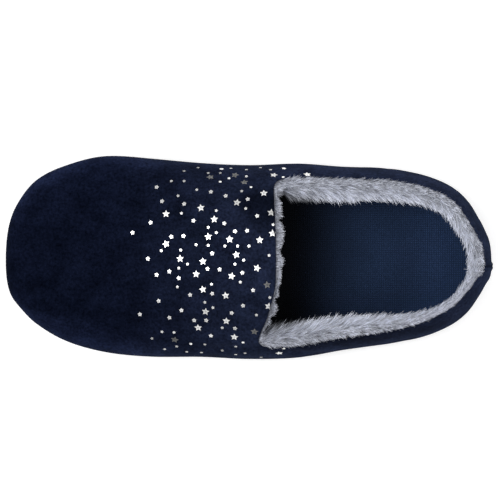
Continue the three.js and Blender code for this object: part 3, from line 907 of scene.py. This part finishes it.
def treadTree():
    t = Tree("treadBars", Length="Float", Height="Float", Rubber="Material")
    bar = t.add("GeometryNodeMeshCube", *zip(("Vertices X", "Vertices Y", "Vertices Z"), tread["cuts"]),
                ("Size", (1, 1, 1)))
    turn = t.add("FunctionNodeEulerToRotation", ("Euler", t.named("barTurn", "FLOAT_VECTOR")))
    size = t.combine(t.given("Length"), t.named("barWidth"), t.given("Height"))
    t.finishWith(t.instances(t.points(), bar.outputs[0], turn.outputs[0], size), t.given("Rubber"))
    return t


def makeTread():
    x = barPlaces()
    half = tread["length"] / 2
    shares = shareAt(x)
    inset = sole["inset"] + tread["inset"]
    sides = {}
    for side in (-1, 1):
        narrow = np.minimum(sideWidth(shareAt(x - half), side), sideWidth(shareAt(x + half), side))
        sides[side] = ridgeY(shares) + side * (narrow - inset)
    height = sole["treadDepth"] + tread["sink"]
    centres = np.stack([x, (sides[-1] + sides[1]) / 2, lift(shares) + height / 2], -1)
    slope = (lift(shareAt(x + half)) - lift(shareAt(x - half))) / tread["length"]
    host = makeMesh("treadHost", centres, [])
    addValues(host, "barWidth", (sides[1] - sides[-1]) * mm)
    addValues(host, "barTurn", np.stack([0 * x, -np.arctan(slope), 0 * x], -1), "FLOAT_VECTOR")
    piece = treadTree().grow(host, "tread_bars", Length=tread["length"] * mm, Height=height * mm,
                             Rubber=rubberLook)
    bevel = piece.modifiers.new("soft edges", "BEVEL")
    bevel.width = tread["bevel"]
    bevel.segments = tread["bevelSteps"]
    return piece


treadPiece = makeTread()
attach(treadPiece, "root")
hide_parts("outsole")
print("tread made:", len(treadPiece.data.polygons), "faces")

# Fur: an undercoat roll, and hairs grown on it.
fur = {
    "ease": 0.7,
    "rise": 3.2,
    "fullCoat": 0.62,
    "leastRise": 0.45,
    "foot": 0.1,
    "throatDepth": 18.0,
    "throatPile": 3.2,
    "cornerReach": 16.0,
    "crownPile": [-0.22, 0, 0.6, 0.85, 0.97],
    "crownRise": [0.75, 1, 0.8, 0.5, 0],
    "frontPlace": [0.1, 0.35, 0.65, 1.0],
    "frontPile": [1.0, 1.05, 0.95, 0.55],
    "backPlace": [1, 0.66, 0.33, 0],
    "wallRibs": 150,
    "throatRibs": 120,
    "throatLap": 0.004,
    "seeds": {"inner": 3, "outer": 4, "throat": 9},
    "roundSteps": 4,
    "density": 11.5e6,
    "wallClump": 0.75,
    "throatClump": 2.4,
}
# The hairs' length and tone, and the undercoat's shade and depth, by their place along the foot.
furTrim = {
    "share": [0.0, 0.03, 0.1, 0.17, 0.27, 0.36, 0.44, 0.5],
    "medialHair": [0.8, 0.75, 0.8, 0.95, 1.0, 1.1, 1.15, 0.9],
    "lateralHair": [0.75, 0.72, 0.68, 0.75, 0.95, 1.15, 1.2, 0.9],
    "medialTone": [1.1, 1.08, 1.05, 1.0, 1.0, 1.0, 1.0, 1.0],
    "lateralTone": [1.15, 1.3, 1.4, 1.25, 1.12, 1.04, 1.0, 1.0],
    "medialCoat": [1.6, 1.2, 1.0, 1.0, 1.0, 1.0, 1.0, 1.0],
    "lateralCoat": [1.8, 2.8, 2.8, 1.8, 1.0, 1.0, 1.0, 1.0],
    "outward": [0.0, 0.0, 0.15, 0.7, 1.0, 1.0, 1.0, 0.5],
    "medialDepth": [0.5, 0.6, 0.62, 0.62, 0.62, 0.62, 0.62, 0.62],
    "lateralDepth": [0.45, 0.2, 0.2, 0.4, 0.62, 0.62, 0.62, 0.62],
    "throatDepth": 0.12,
    "cornerBlend": 12.0,
    "seamReach": 0.02,
    "seamDepth": 5.0,
    "seamTurn": 0.6,
}


def trimBy(name, u):
    return np.interp(shareOf(u), furTrim["share"], furTrim[name])


def trimSides(name, u):
    return bySide(sideOf(u), trimBy("medial" + name, u), trimBy("lateral" + name, u))


def pileAt(u):
    side = sideOf(u)
    corner = bySide(side, medialCorner, lateralCorner)
    start = collar["furPile"] * readSides(collarTable, "Pile", shareOf(corner), side)
    far = np.linalg.norm(topEdge(u) - topEdge(corner), axis=-1)
    across = mix(start, fur["throatPile"], smooth(far / fur["cornerReach"]))
    return np.where(atThroat(u), across, collar["furPile"] * readSides(collarTable, "Pile", shareOf(u), side))


def undercoatDepth(u):
    depth = trimSides("Depth", u)
    away = np.minimum(*[np.linalg.norm(topEdge(u) - corner, axis=-1) for corner in topEdge(corners)])
    throatDepth = mix(depth, furTrim["throatDepth"], smooth(away / furTrim["cornerBlend"]))
    return np.where(atThroat(u), throatDepth, depth)


def furEnd(u):
    rib = np.linalg.norm(outline(u) - topEdge(u), axis=-1)
    throatEnd = np.clip(1 - fur["throatDepth"] / rib, 0, None) ** (1 / upper["rowCrowding"])
    return np.maximum(fur["foot"], throatEnd)


def furSections(u):
    # One section a rib: up the back, over the top edge, down the front.
    undercoat = undercoatDepth(u)
    back = upper["wall"] + fur["ease"]
    end = furEnd(u)
    depth = pileAt(u) * undercoat
    rise = fur["rise"] * np.clip(undercoat / fur["fullCoat"], fur["leastRise"], 1)
    behind = [underSkin(u, mix(1, end, p), np.full(len(u), back)) for p in fur["backPlace"]]
    seat = [
        overRim(u, back, sole["gap"]),
        overRim(u, upper["wall"] / 2, upper["rimRound"] + fur["ease"]),
        overRim(u, 0, fur["ease"]),
    ]
    crown = [overRim(u, back + depth * p, rise * fur["fullCoat"] * r)
             for p, r in zip(fur["crownPile"], fur["crownRise"])]
    front = [underSkin(u, mix(1, end, p), back + depth * d)
             for p, d in zip(fur["frontPlace"], fur["frontPile"])]
    return np.stack(behind + seat + crown + front, 1)


def roundedRow(points, steps):
    # A smooth curve through each section's points.
    before = np.concatenate([points[:, :1] * 2 - points[:, 1:2], points[:, :-1]], 1)
    after = np.concatenate([points[:, 1:], points[:, -1:] * 2 - points[:, -2:-1]], 1)
    slopes = (after - before) / 2
    rows = []
    for i in range(points.shape[1] - 1):
        for k in range(steps):
            t = k / steps
            a = points[:, i] * (1 + 2 * t) * (1 - t) ** 2 + slopes[:, i] * t * (1 - t) ** 2
            b = points[:, i + 1] * t * t * (3 - 2 * t) + slopes[:, i + 1] * t * t * (t - 1)
            rows.append(a + b)
    rows.append(points[:, -1])
    return np.stack(rows, 1)


def dressFur(piece):
    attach(piece, "root")
    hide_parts("fur_collar")


def furRoll(side, ribs, look):
    u = np.mod(ribs, 1)
    sections = furSections(u)
    hidden = len(fur["backPlace"]) + 2
    front = roundedRow(sections[:, hidden:], fur["roundSteps"])
    loops = np.concatenate([sections[:, :hidden], front], 1)
    count = loops.shape[1]
    faces = ringFaces(len(ribs), count, False, True).tolist()
    for column, flip in ((0, True), (len(ribs) - 1, False)):
        cap = [column * count + j for j in range(count)]
        faces.append(cap[::-1] if flip else cap)
    piece = makeMesh(f"fur_roll_{side}", loops, faces, [look])
    addValues(piece, "shade", np.broadcast_to(trimSides("Coat", u)[:, None], (len(u), count)))
    dressFur(piece)
    return u, front


# How the hairs lie, by the distance in millimetres from the fur's outer edge over its top and down inside.
# In the shade column the hairs grow darker deep inside the shoe as painted shade, and they are darker at the
# outer edge too.
wallComb = {
    "fleckSeed": 5,
    "distance": [0.0, 2.5, 5.0, 8.0, 12.0, 20.0, 45.0],
    "heelward": [0.95, 0.95, 0.85, 0.75, 0.6, 0.4, 0.3],
    "medialDown": [-0.1, -0.12, 0.0, 0.5, 0.75, 0.9, 0.9],
    "lateralDown": [-0.5, -0.25, 0.1, 0.4, 0.65, 0.9, 0.9],
    "lift": [0.65, 0.85, 0.95, 0.9, 0.8, 0.8, 0.8],
    "length": [3.2, 5.0, 6.5, 7.2, 6.3, 4.5, 3.2],
    "thickness": [1.2, 1.2, 1.0, 1.0, 0.9, 0.5, 0.25],
    "shade": [0.66, 0.78, 1.0, 1.27, 1.22, 0.85, 0.55],
    "fleck": [0.75, 0.75, 0.6, 0.3, 0.2, 0.2, 0.2],
}
# At the throat the shade column is painted shade under the vamp's edge.
throatComb = {
    "fleckSeed": 6,
    "distance": [0.0, 1.5, 3.0, 5.0, 8.0, 14.0],
    "heelward": [0.3, 0.6, 0.9, 0.95, 0.9, 0.6],
    "medialDown": [0.0, 0.0, 0.1, 0.2, 0.4, 0.6],
    "lateralDown": [0.0, 0.0, 0.1, 0.2, 0.4, 0.6],
    "lift": [0.9, 0.6, 0.35, 0.35, 0.3, 0.2],
    "length": [2.2, 2.8, 3.5, 4.0, 3.8, 3.5],
    "thickness": [1.0, 1.0, 1.0, 1.0, 0.6, 0.1],
    "shade": [0.55, 0.7, 0.8, 0.72, 0.48, 0.3],
    "fleck": [0.3, 0.3, 0.3, 0.3, 0.3, 0.3],
}
fleckRange = (-0.35, 1)
vampShade = {"lit": 4.0, "gain": 0.006, "blur": 5.5, "dark": 0.1}
throatTufts = {"spacing": 3.2, "least": 0.4, "most": 1.35, "seed": 12}


def combFur(front, u, heelward, comb):
    downwards = unit(np.gradient(front, axis=1))
    outwards = unit(np.cross(downwards, np.gradient(front, axis=0)))
    steps = np.linalg.norm(np.diff(front, axis=1), axis=-1)
    distance = np.concatenate([np.zeros((len(front), 1)), np.cumsum(steps, 1)], 1)

    def read(name):
        return np.interp(distance, comb["distance"], comb[name])

    flecks = 1 - read("fleck") * np.random.default_rng(comb["fleckSeed"]).uniform(*fleckRange, distance.shape)
    down = np.where(front[..., 1] < 0, read("medialDown"), read("lateralDown"))
    down = np.where(down < 0, down * trimBy("outward", u)[:, None], down)
    # At the back seam the outer hairs turn straight back, to a point.
    nearSeam = (1 - smooth(shareOf(u) / furTrim["seamReach"]))[:, None]
    atSeam = nearSeam * (1 - smooth(distance / furTrim["seamDepth"]))
    way = mix(heelward, np.array([-1.0, 0, 0]), furTrim["seamTurn"] * atSeam[..., None])
    lay = unit(way * read("heelward")[..., None] + downwards * down[..., None])
    root = unit(lay + outwards * read("lift")[..., None])
    return {
        "distance": distance,
        "lay": lay,
        "root": root,
        "outwards": outwards,
        "length": read("length"),
        "thickness": read("thickness"),
        "shade": read("shade") * flecks,
    }


hair = {
    "rootDepth": 0.25,
    "bends": [0.3, 0.45, 0.6, 0.75],
    "stops": [0.0, 0.4, 0.75],
    "widths": [1.0, 0.85, 0.5],
    "width": 0.00025,
    "clumpPerMetre": 320.0,
    "clumpDetail": 2.0,
    "patchPerMetre": 420.0,
    "patchDetail": 3.0,
    "stray": 0.2,
    "straySeed": 11,
    "twist": 0.7,
    "twistSeed": 23,
    "shortest": 0.7,
    "longest": 1.08,
    "lengthSeed": 37,
    "toneSeed": 41,
    "colour": (0.5, 0.53, 0.6),
    "roughness": 0.8,
    "sheen": 0.05,
    "gloss": 0.3,
    "colourStops": [(0.0, (0.13, 0.136, 0.17)), (1.0, (0.87, 0.9, 1.0)), (0.4, (0.53, 0.56, 0.67))],
    "toneContrast": 1.5,
    "lightest": 1.15,
}
undercoat = {
    "colour": (0.12, 0.125, 0.15),
    "roughness": 0.95,
    "fluff": (700, 4, 0.7),
    "fluffContrast": 0.6,
    "fluffBump": (0.0006, 1.0),
}


def furFinish():
    f = Finish("fur_hairs", hair["colour"], hair["roughness"], Sheen_Weight=hair["sheen"],
               Specular_IOR_Level=hair["gloss"])
    colour = f.ramp(f.attribute("tipward"), hair["colourStops"])
    worn = f.product(f.spread(f.attribute("tone"), hair["toneContrast"]), f.attribute("shade"))
    return f.ends(Base_Color=f.tint(colour, f.math("MINIMUM", worn, hair["lightest"])))


def undercoatFinish():
    f = Finish("fur_undercoat", undercoat["colour"], undercoat["roughness"])
    fluff = f.noise(*undercoat["fluff"])
    shade = f.product(f.spread(fluff, undercoat["fluffContrast"]), f.attribute("shade"))
    return f.ends(
        Base_Color=f.tint(undercoat["colour"], shade),
        Normal=f.bump(fluff, *undercoat["fluffBump"]),
    )


def storeShape(store, name, points, faces, attribute, values):
    # Keeps a small shape where a tree can pick it.
    mesh = bpy.data.meshes.new(name)
    mesh.from_pydata(points, [], faces)
    shape = bpy.data.objects.new(name, mesh)
    addValues(shape, attribute, values)
    store.objects.link(shape)
    return mesh


def hairBlades():
    # Flat tapered blades one metre long, bent towards their own X. The tree scales them to the hair's size.
    store = bpy.data.collections.new("hairBlades")
    stops = hair["stops"]
    for number, bend in enumerate(hair["bends"]):
        rise = math.sqrt(1 - bend**2)
        points = [(bend * stop**2, side * width / 2, rise * stop)
                  for stop, width in zip(stops, hair["widths"]) for side in (-1, 1)]
        faces = [(0, 1, 3, 2), (2, 3, 5, 4), (4, 5, 6)]
        mesh = storeShape(store, f"hairBlade{number}", points + [(bend, 0, rise)], faces, "tipward",
                          [stop for stop in stops for side in (-1, 1)] + [1])
        mesh.polygons.foreach_set("use_smooth", [True] * len(faces))
    return store


def hairTree():
    t = Tree("hairsOnFur", Density="Float", Seed="Int", Width="Float", Clump="Float", Stray="Float",
             Fur="Material")
    scatter = t.add(
        "GeometryNodeDistributePointsOnFaces",
        ("Mesh", t.given("Geometry")),
        ("Density", t.math("MULTIPLY", t.given("Density"), t.named("thickness"))),
        ("Seed", t.given("Seed")),
    )
    place = t.add("GeometryNodeInputPosition").outputs[0]
    wave = t.noise(place, hair["clumpPerMetre"], hair["clumpDetail"])["Color"]
    clumped = t.vector("SCALE", t.vector("SUBTRACT", wave, (0.5, 0.5, 0.5)), t.given("Clump"))
    loose = t.add("FunctionNodeRandomValue", ("Min", (-1, -1, -1)), ("Max", (1, 1, 1)),
                  ("Seed", hair["straySeed"]), data_type="FLOAT_VECTOR")
    away = t.vector("ADD", clumped, t.vector("SCALE", loose.outputs[0], t.given("Stray")))
    root = t.vector("ADD", t.named("root", "FLOAT_VECTOR"), away)
    lay = t.vector("ADD", t.named("lay", "FLOAT_VECTOR"), away)
    rotation = t.stance(root, lay, "X", t.random(-hair["twist"], hair["twist"], hair["twistSeed"]))
    vary = t.random(hair["shortest"], hair["longest"], hair["lengthSeed"])
    long = t.math("MULTIPLY", t.named("hairLength"), vary)
    hairs = t.instances(scatter.outputs["Points"], t.shapes(hairBlades()), rotation,
                        t.combine(long, t.given("Width"), long), ("Pick Instance", True))
    patch = t.noise(place, hair["patchPerMetre"], hair["patchDetail"])[0]
    both = t.math("ADD", patch, t.random(0.0, 1.0, hair["toneSeed"]))
    toned = t.add(
        "GeometryNodeStoreNamedAttribute",
        ("Geometry", hairs),
        ("Name", "tone"),
        ("Value", t.math("MULTIPLY", both, 0.5)),
        data_type="FLOAT",
        domain="INSTANCE",
    )
    t.finishWith(toned.outputs[0], t.given("Fur"))
    return t


hairs = hairTree()
hairLook = furFinish()


def growHairs(side, front, combed, clump):
    name = f"fur_hairs_{side}"
    roots = front - combed["outwards"] * hair["rootDepth"]
    host = makeMesh(name + "Host", roots, ringFaces(*front.shape[:2], False, False))
    for attribute in ("lay", "root"):
        addValues(host, attribute, combed[attribute], "FLOAT_VECTOR")
    addValues(host, "hairLength", combed["length"] * mm)
    addValues(host, "thickness", combed["thickness"])
    addValues(host, "shade", combed["shade"])
    piece = hairs.grow(host, name, Density=fur["density"], Seed=fur["seeds"][side], Width=hair["width"],
                       Clump=clump, Stray=hair["stray"], Fur=hairLook)
    dropAttributes(piece, "lay", "root", "hairLength", "thickness")
    dressFur(piece)
    print(name, "hairs:", len(piece.data.polygons) // 3)


throatEdge = topEdge(np.linspace(lateralCorner, medialCorner, 40))


def throatX(y):
    order = np.argsort(throatEdge[:, 1])
    return np.interp(y, throatEdge[order, 1], throatEdge[order, 0])


def underVamp(front, distance):
    # Fur deep in the corners under the vamp lies in its shade.
    behind = np.clip(throatX(front[..., 1]) - front[..., 0], 0, None)
    litTo = vampShade["lit"] + vampShade["gain"] * behind**2
    return mix(1, vampShade["dark"], smooth((distance - litTo) / vampShade["blur"]))


def tufts(front):
    # Shares of the hairs' length that make uneven tufts along the throat.
    draw = np.random.default_rng(throatTufts["seed"])
    steps = np.linalg.norm(np.diff(front[:, 0], axis=0), axis=-1)
    places = np.concatenate([[0], np.cumsum(steps)])
    knots = np.arange(0, places[-1] + throatTufts["spacing"], throatTufts["spacing"])
    sizes = draw.uniform(throatTufts["least"], throatTufts["most"], len(knots))
    return np.interp(places, knots, sizes)[:, None]


def makeFur():
    undercoatLook = undercoatFinish()
    sides = [
        ("inner", "medial", np.linspace(medialCorner, 1, fur["wallRibs"]), 1),
        ("outer", "lateral", np.linspace(1, 1 + lateralCorner, fur["wallRibs"]), -1),
    ]
    for side, edge, ribs, way in sides:
        u, front = furRoll(side, ribs, undercoatLook)
        combed = combFur(front, u, unit(np.gradient(front, axis=0)) * way, wallComb)
        shade = combed["shade"] * trimBy(edge + "Tone", u)[:, None]
        combed["shade"] = shade * underVamp(front, combed["distance"])
        combed["length"] = combed["length"] * trimBy(edge + "Hair", u)[:, None]
        growHairs(side, front, combed, fur["wallClump"])
    lap = fur["throatLap"]
    ribs = np.linspace(lateralCorner - lap, medialCorner + lap, fur["throatRibs"])
    u, front = furRoll("throat", ribs, undercoatLook)
    combed = combFur(front, u, np.broadcast_to(np.array([-1.0, 0, 0]), front.shape), throatComb)
    combed["length"] = combed["length"] * tufts(front)
    growHairs("throat", front, combed, fur["throatClump"])


makeFur()
print("fur made")

# Foil stars, charted in squares of 0.7 mm from the toe end and the inner side.
foil = {
    "square": 0.7014,
    "chartX": 83.35,
    "chartY": -56.05,
    "bigSize": 4.25,
    "middleSize": 2.5,
    "smallSize": 1.8,
    "bigWaist": 0.48,
    "smallWaist": 0.66,
    "levels": [(0.75, 0.94), (0.0, 1.0), (-1.5, 1.0)],
    "thickness": 0.0001,
    "proud": 0.09,
    "dropFrom": 150.0,
    "turn": 0.35,
    "turnSeed": 5,
    "colour": (0.85, 0.85, 0.87),
    "roughness": 0.34,
    "tint": (1.0, 0.995, 0.985),
    "wear": (900, 3, 0.6),
    "wearContrast": 0.5,
    "grain": (1800, 3, 0.6),
    "grainBump": (0.00006, 0.6),
    "shine": 0.8,
    # Lower shines for the stars turned away from the light: painted shade.
    "bigDullShine": 0.15,
    "smallDullShine": 0.38,
    "shineSpread": 0.25,
    "shineSeed": 8,
    "middleFrom": 0.8,
    "middleShade": 0.5,
}
starChart = {
    "big": [
        (56.5, 47.5), (56.5, 70), (67, 81), (82.5, 43), (92.5, 51.5), (88, 64.5), (104, 66.5), (109.5, 39),
        (109, 78), (84, 83), (79, 92.5), (105.5, 94), (126.5, 67), (124.5, 88), (84, 104), (101, 108.5),
        (86, 120.5), (101.5, 127.5), (80.5, 132.5), (107.5, 139.5), (129.5, 32), (135, 46.5), (136, 62),
        (133, 116.5), (137, 18.5), (141, 151.5), (162, 18),
    ],
    # Big stars turned away from the light, darker as painted shade.
    "bigDull": [(132, 100.5), (122.5, 135.5), (115, 24), (108, 18.5), (89.5, 20), (63, 141.5)],
    "middle": [
        (49.5, 27.5), (53.5, 38), (45, 54), (31.5, 61.5), (60.5, 64.5), (69.5, 64), (43, 81), (59, 90.5),
        (49.5, 93), (66, 95.5), (74.5, 108), (51, 112.5), (37, 122.5), (68, 119.5), (59, 125), (77, 52.5),
        (70, 40), (90, 31), (101, 34), (117.5, 36.5), (124.5, 49), (100, 54.5), (108, 60.5), (117, 60),
        (91, 77), (87.5, 88.5), (96.5, 89), (91, 107), (113.5, 91.5), (114, 116), (105.5, 121.5),
        (121.5, 104.5), (108, 133), (90, 138.5), (77.5, 127), (86.5, 127), (98, 14), (144.5, 13.5),
    ],
    "small": [
        (53, 75), (67.5, 74.5), (72.5, 85), (66, 88), (65, 102), (98.5, 132.5), (85.5, 113.5), (91.5, 117.5),
        (90.5, 100), (88, 71), (79, 70.5), (94, 61.5), (88, 57.5), (94, 45), (68, 47), (65.5, 34),
        (79.5, 29.5), (113, 30.5), (120, 27.5), (116, 43.5), (100.5, 71.5), (110, 71.5), (118.5, 71.5),
        (114.5, 82), (108, 85), (112, 98.5), (114, 143.5), (124, 123), (134, 110), (136.5, 55.5),
        (97, 23.5), (103.5, 21), (60.5, 23), (70, 23), (116.5, 19.5), (53.5, 135.5), (62.5, 136),
        (75, 144.5), (133.5, 78.5), (144, 20), (157.5, 143.5), (144.5, 148),
    ],
    # Small stars turned away from the light, darker as painted shade.
    "smallDull": [
        (46, 140.5), (55.5, 148.5), (64.5, 146.5), (85.5, 145), (72, 150.5), (83, 151), (98.5, 149.5),
        (108.5, 146.5), (108.5, 152.5), (115.5, 151.5), (127.5, 154.5), (70, 15.5), (80.5, 13), (88, 17),
        (97, 17), (105, 13.5), (116.5, 14.5), (127, 13), (134.5, 14.5),
    ],
}


def foilFinish():
    f = Finish("foil_silver", foil["colour"], foil["roughness"], Metallic=1.0)
    worn = f.spread(f.noise(*foil["wear"]), foil["wearContrast"])
    middle = f.range(f.attribute("raised"), foil["middleFrom"], 1.0, 1.0, foil["middleShade"])
    return f.ends(
        Base_Color=f.tint(foil["tint"], f.product(f.attribute("shine"), worn, middle)),
        Normal=f.bump(f.noise(*foil["grain"]), *foil["grainBump"]),
    )


def starShapes():
    # Stars a metre across, slightly raised in their middle, with a skirt that goes under the nap. The first
    # is for the big ones, and the second has a fuller waist.
    store = bpy.data.collections.new("starShapes")
    faces = [(0, 1 + i, 1 + (i + 1) % 10) for i in range(10)]
    for base in (1, 11):
        faces += [(base + i, base + 10 + i, base + 10 + (i + 1) % 10, base + (i + 1) % 10) for i in range(10)]
    for number, waist in enumerate((foil["bigWaist"], foil["smallWaist"])):
        points = [(0, 0, 1.0)]
        for level, grow in foil["levels"]:
            for i in range(10):
                reach = (0.5 if i % 2 == 0 else 0.5 * waist) * grow
                angle = math.pi / 2 + i * math.pi / 5
                points.append((reach * math.cos(angle), reach * math.sin(angle), level))
        storeShape(store, f"star{number}", points, faces, "raised", [p[2] for p in points])
    return store


def starTree():
    # Points over the vamp become flat stars, which are then pressed onto the velour along its own normals.
    t = Tree("foilStars", Cloth="Object", Foil="Material", Proud="Float", Turn="Float", Seed="Int")
    cloth = t.add("GeometryNodeObjectInfo", ("Object", t.given("Cloth"))).outputs["Geometry"]
    place = t.add("GeometryNodeInputPosition").outputs[0]
    fall = t.vector("ADD", place, (0, 0, -stage["height"]))
    hit = t.add("GeometryNodeRaycast", ("Target Geometry", cloth), ("Ray Direction", fall),
                ("Ray Length", 1.0))
    dropped = t.add("GeometryNodeSetPosition", ("Geometry", t.points()),
                    ("Position", hit.outputs["Hit Position"]))
    normal = t.add("GeometryNodeInputNormal").outputs[0]
    nearest = t.add("GeometryNodeSampleNearestSurface", ("Mesh", cloth), ("Value", normal),
                    data_type="FLOAT_VECTOR").outputs["Value"]
    low = t.math("MULTIPLY", t.given("Turn"), -1.0)
    rotation = t.stance(nearest, (0, -1, 0), "Y", t.random(low, t.given("Turn"), t.given("Seed")))
    size = t.named("starSize")
    stars = t.instances(dropped.outputs[0], t.shapes(starShapes()), rotation,
                        t.combine(size, size, foil["thickness"]), ("Pick Instance", True),
                        ("Instance Index", t.named("starKind")))
    real = t.add("GeometryNodeRealizeInstances", ("Geometry", stars))
    near = t.add("GeometryNodeProximity", (0, cloth), target_element="FACES")
    height = t.math("MULTIPLY", t.named("raised"), t.given("Proud"))
    onto = t.vector("ADD", near.outputs[0], t.vector("SCALE", nearest, height))
    pressed = t.add("GeometryNodeSetPosition", ("Geometry", real.outputs[0]), ("Position", onto))
    t.finishWith(pressed.outputs[0], t.given("Foil"))
    return t


def makeStars():
    places = []
    sizes = []
    kinds = []
    shines = []
    eye = np.array(cameraPlace) / mm
    draw = np.random.default_rng(foil["shineSeed"])
    for kind, spots in starChart.items():
        for a, b in spots:
            aim = np.array([foil["chartX"] - foil["square"] * a, foil["chartY"] + foil["square"] * b,
                            last["bulgeHeight"]])
            places.append(eye + (aim - eye) * ((eye[2] - foil["dropFrom"]) / (eye[2] - last["bulgeHeight"])))
            sizes.append(foil[kind.replace("Dull", "") + "Size"] * mm)
            kinds.append(0 if kind.startswith("big") else 1)
            # The stars turned away from the light get a lower shine, which is painted shade.
            shine = foil.get(kind + "Shine", foil["shine"])
            shines.append(shine * (1 + foil["shineSpread"] * draw.uniform(-1, 1)))
    host = makeMesh("starHost", np.array(places) - [centring, 0, 0], [])
    for name, values in (("starSize", sizes), ("starKind", kinds), ("shine", shines)):
        addValues(host, name, values)
    piece = starTree().grow(host, "foil_stars", Cloth=upperPiece, Foil=foilFinish(), Proud=foil["proud"] * mm,
                            Turn=foil["turn"], Seed=foil["turnSeed"])
    dropAttributes(piece, "starSize", "starKind")
    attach(piece, "root")
    print("stars:", len(places))


makeStars()
print("stars made")


# Stage, lights and camera.
def makeFloor():
    side = stage["floorSide"]
    ends = ((-side, -side), (side, -side), (side, side), (-side, side))
    mesh = bpy.data.meshes.new("floor")
    mesh.from_pydata([(x, y, stage["floorZ"]) for x, y in ends], [], [(0, 1, 2, 3)])
    look = Finish("floor_pale", stage["floorColour"], stage["floorRoughness"],
                  Emission_Strength=stage["floorGlow"], Emission_Color=(1, 1, 1, 1))
    mesh.materials.append(look.material)
    floor = linkPiece("floor", mesh)


def addLight(name, place, size, power):
    data = bpy.data.lights.new(name, "AREA")
    data.size = size
    data.energy = power
    lamp = linkPiece(name, data)
    lamp.location = place
    lamp.rotation_euler = (Vector(stage["lit"]) - Vector(place)).to_track_quat("-Z", "Y").to_euler()


def makeWorld():
    world = bpy.data.worlds.new("studio")
    world.use_nodes = True
    world.node_tree.nodes["Background"].inputs["Color"].default_value = (1, 1, 1, 1)
    world.node_tree.nodes["Background"].inputs["Strength"].default_value = stage["skyStrength"]
    bpy.context.scene.world = world


def makeCamera():
    data = bpy.data.cameras.new("camera")
    camera = linkPiece("camera", data)
    camera.location = cameraPlace
    camera.rotation_euler = (0, 0, math.pi)
    data.sensor_width = stage["sensor"]
    shown = stage["photoPixels"] * stage["mmPerPixel"] * mm
    data.lens = stage["sensor"] * (stage["height"] - last["bulgeHeight"] * mm) / shown
    data.clip_end = stage["sight"]
    bpy.context.scene.camera = camera


makeFloor()
makeWorld()
for lightName, settings in stage["lights"].items():
    addLight(lightName, *settings)
makeCamera()
bpy.context.scene.view_settings.view_transform = "Standard"
print("stage made")
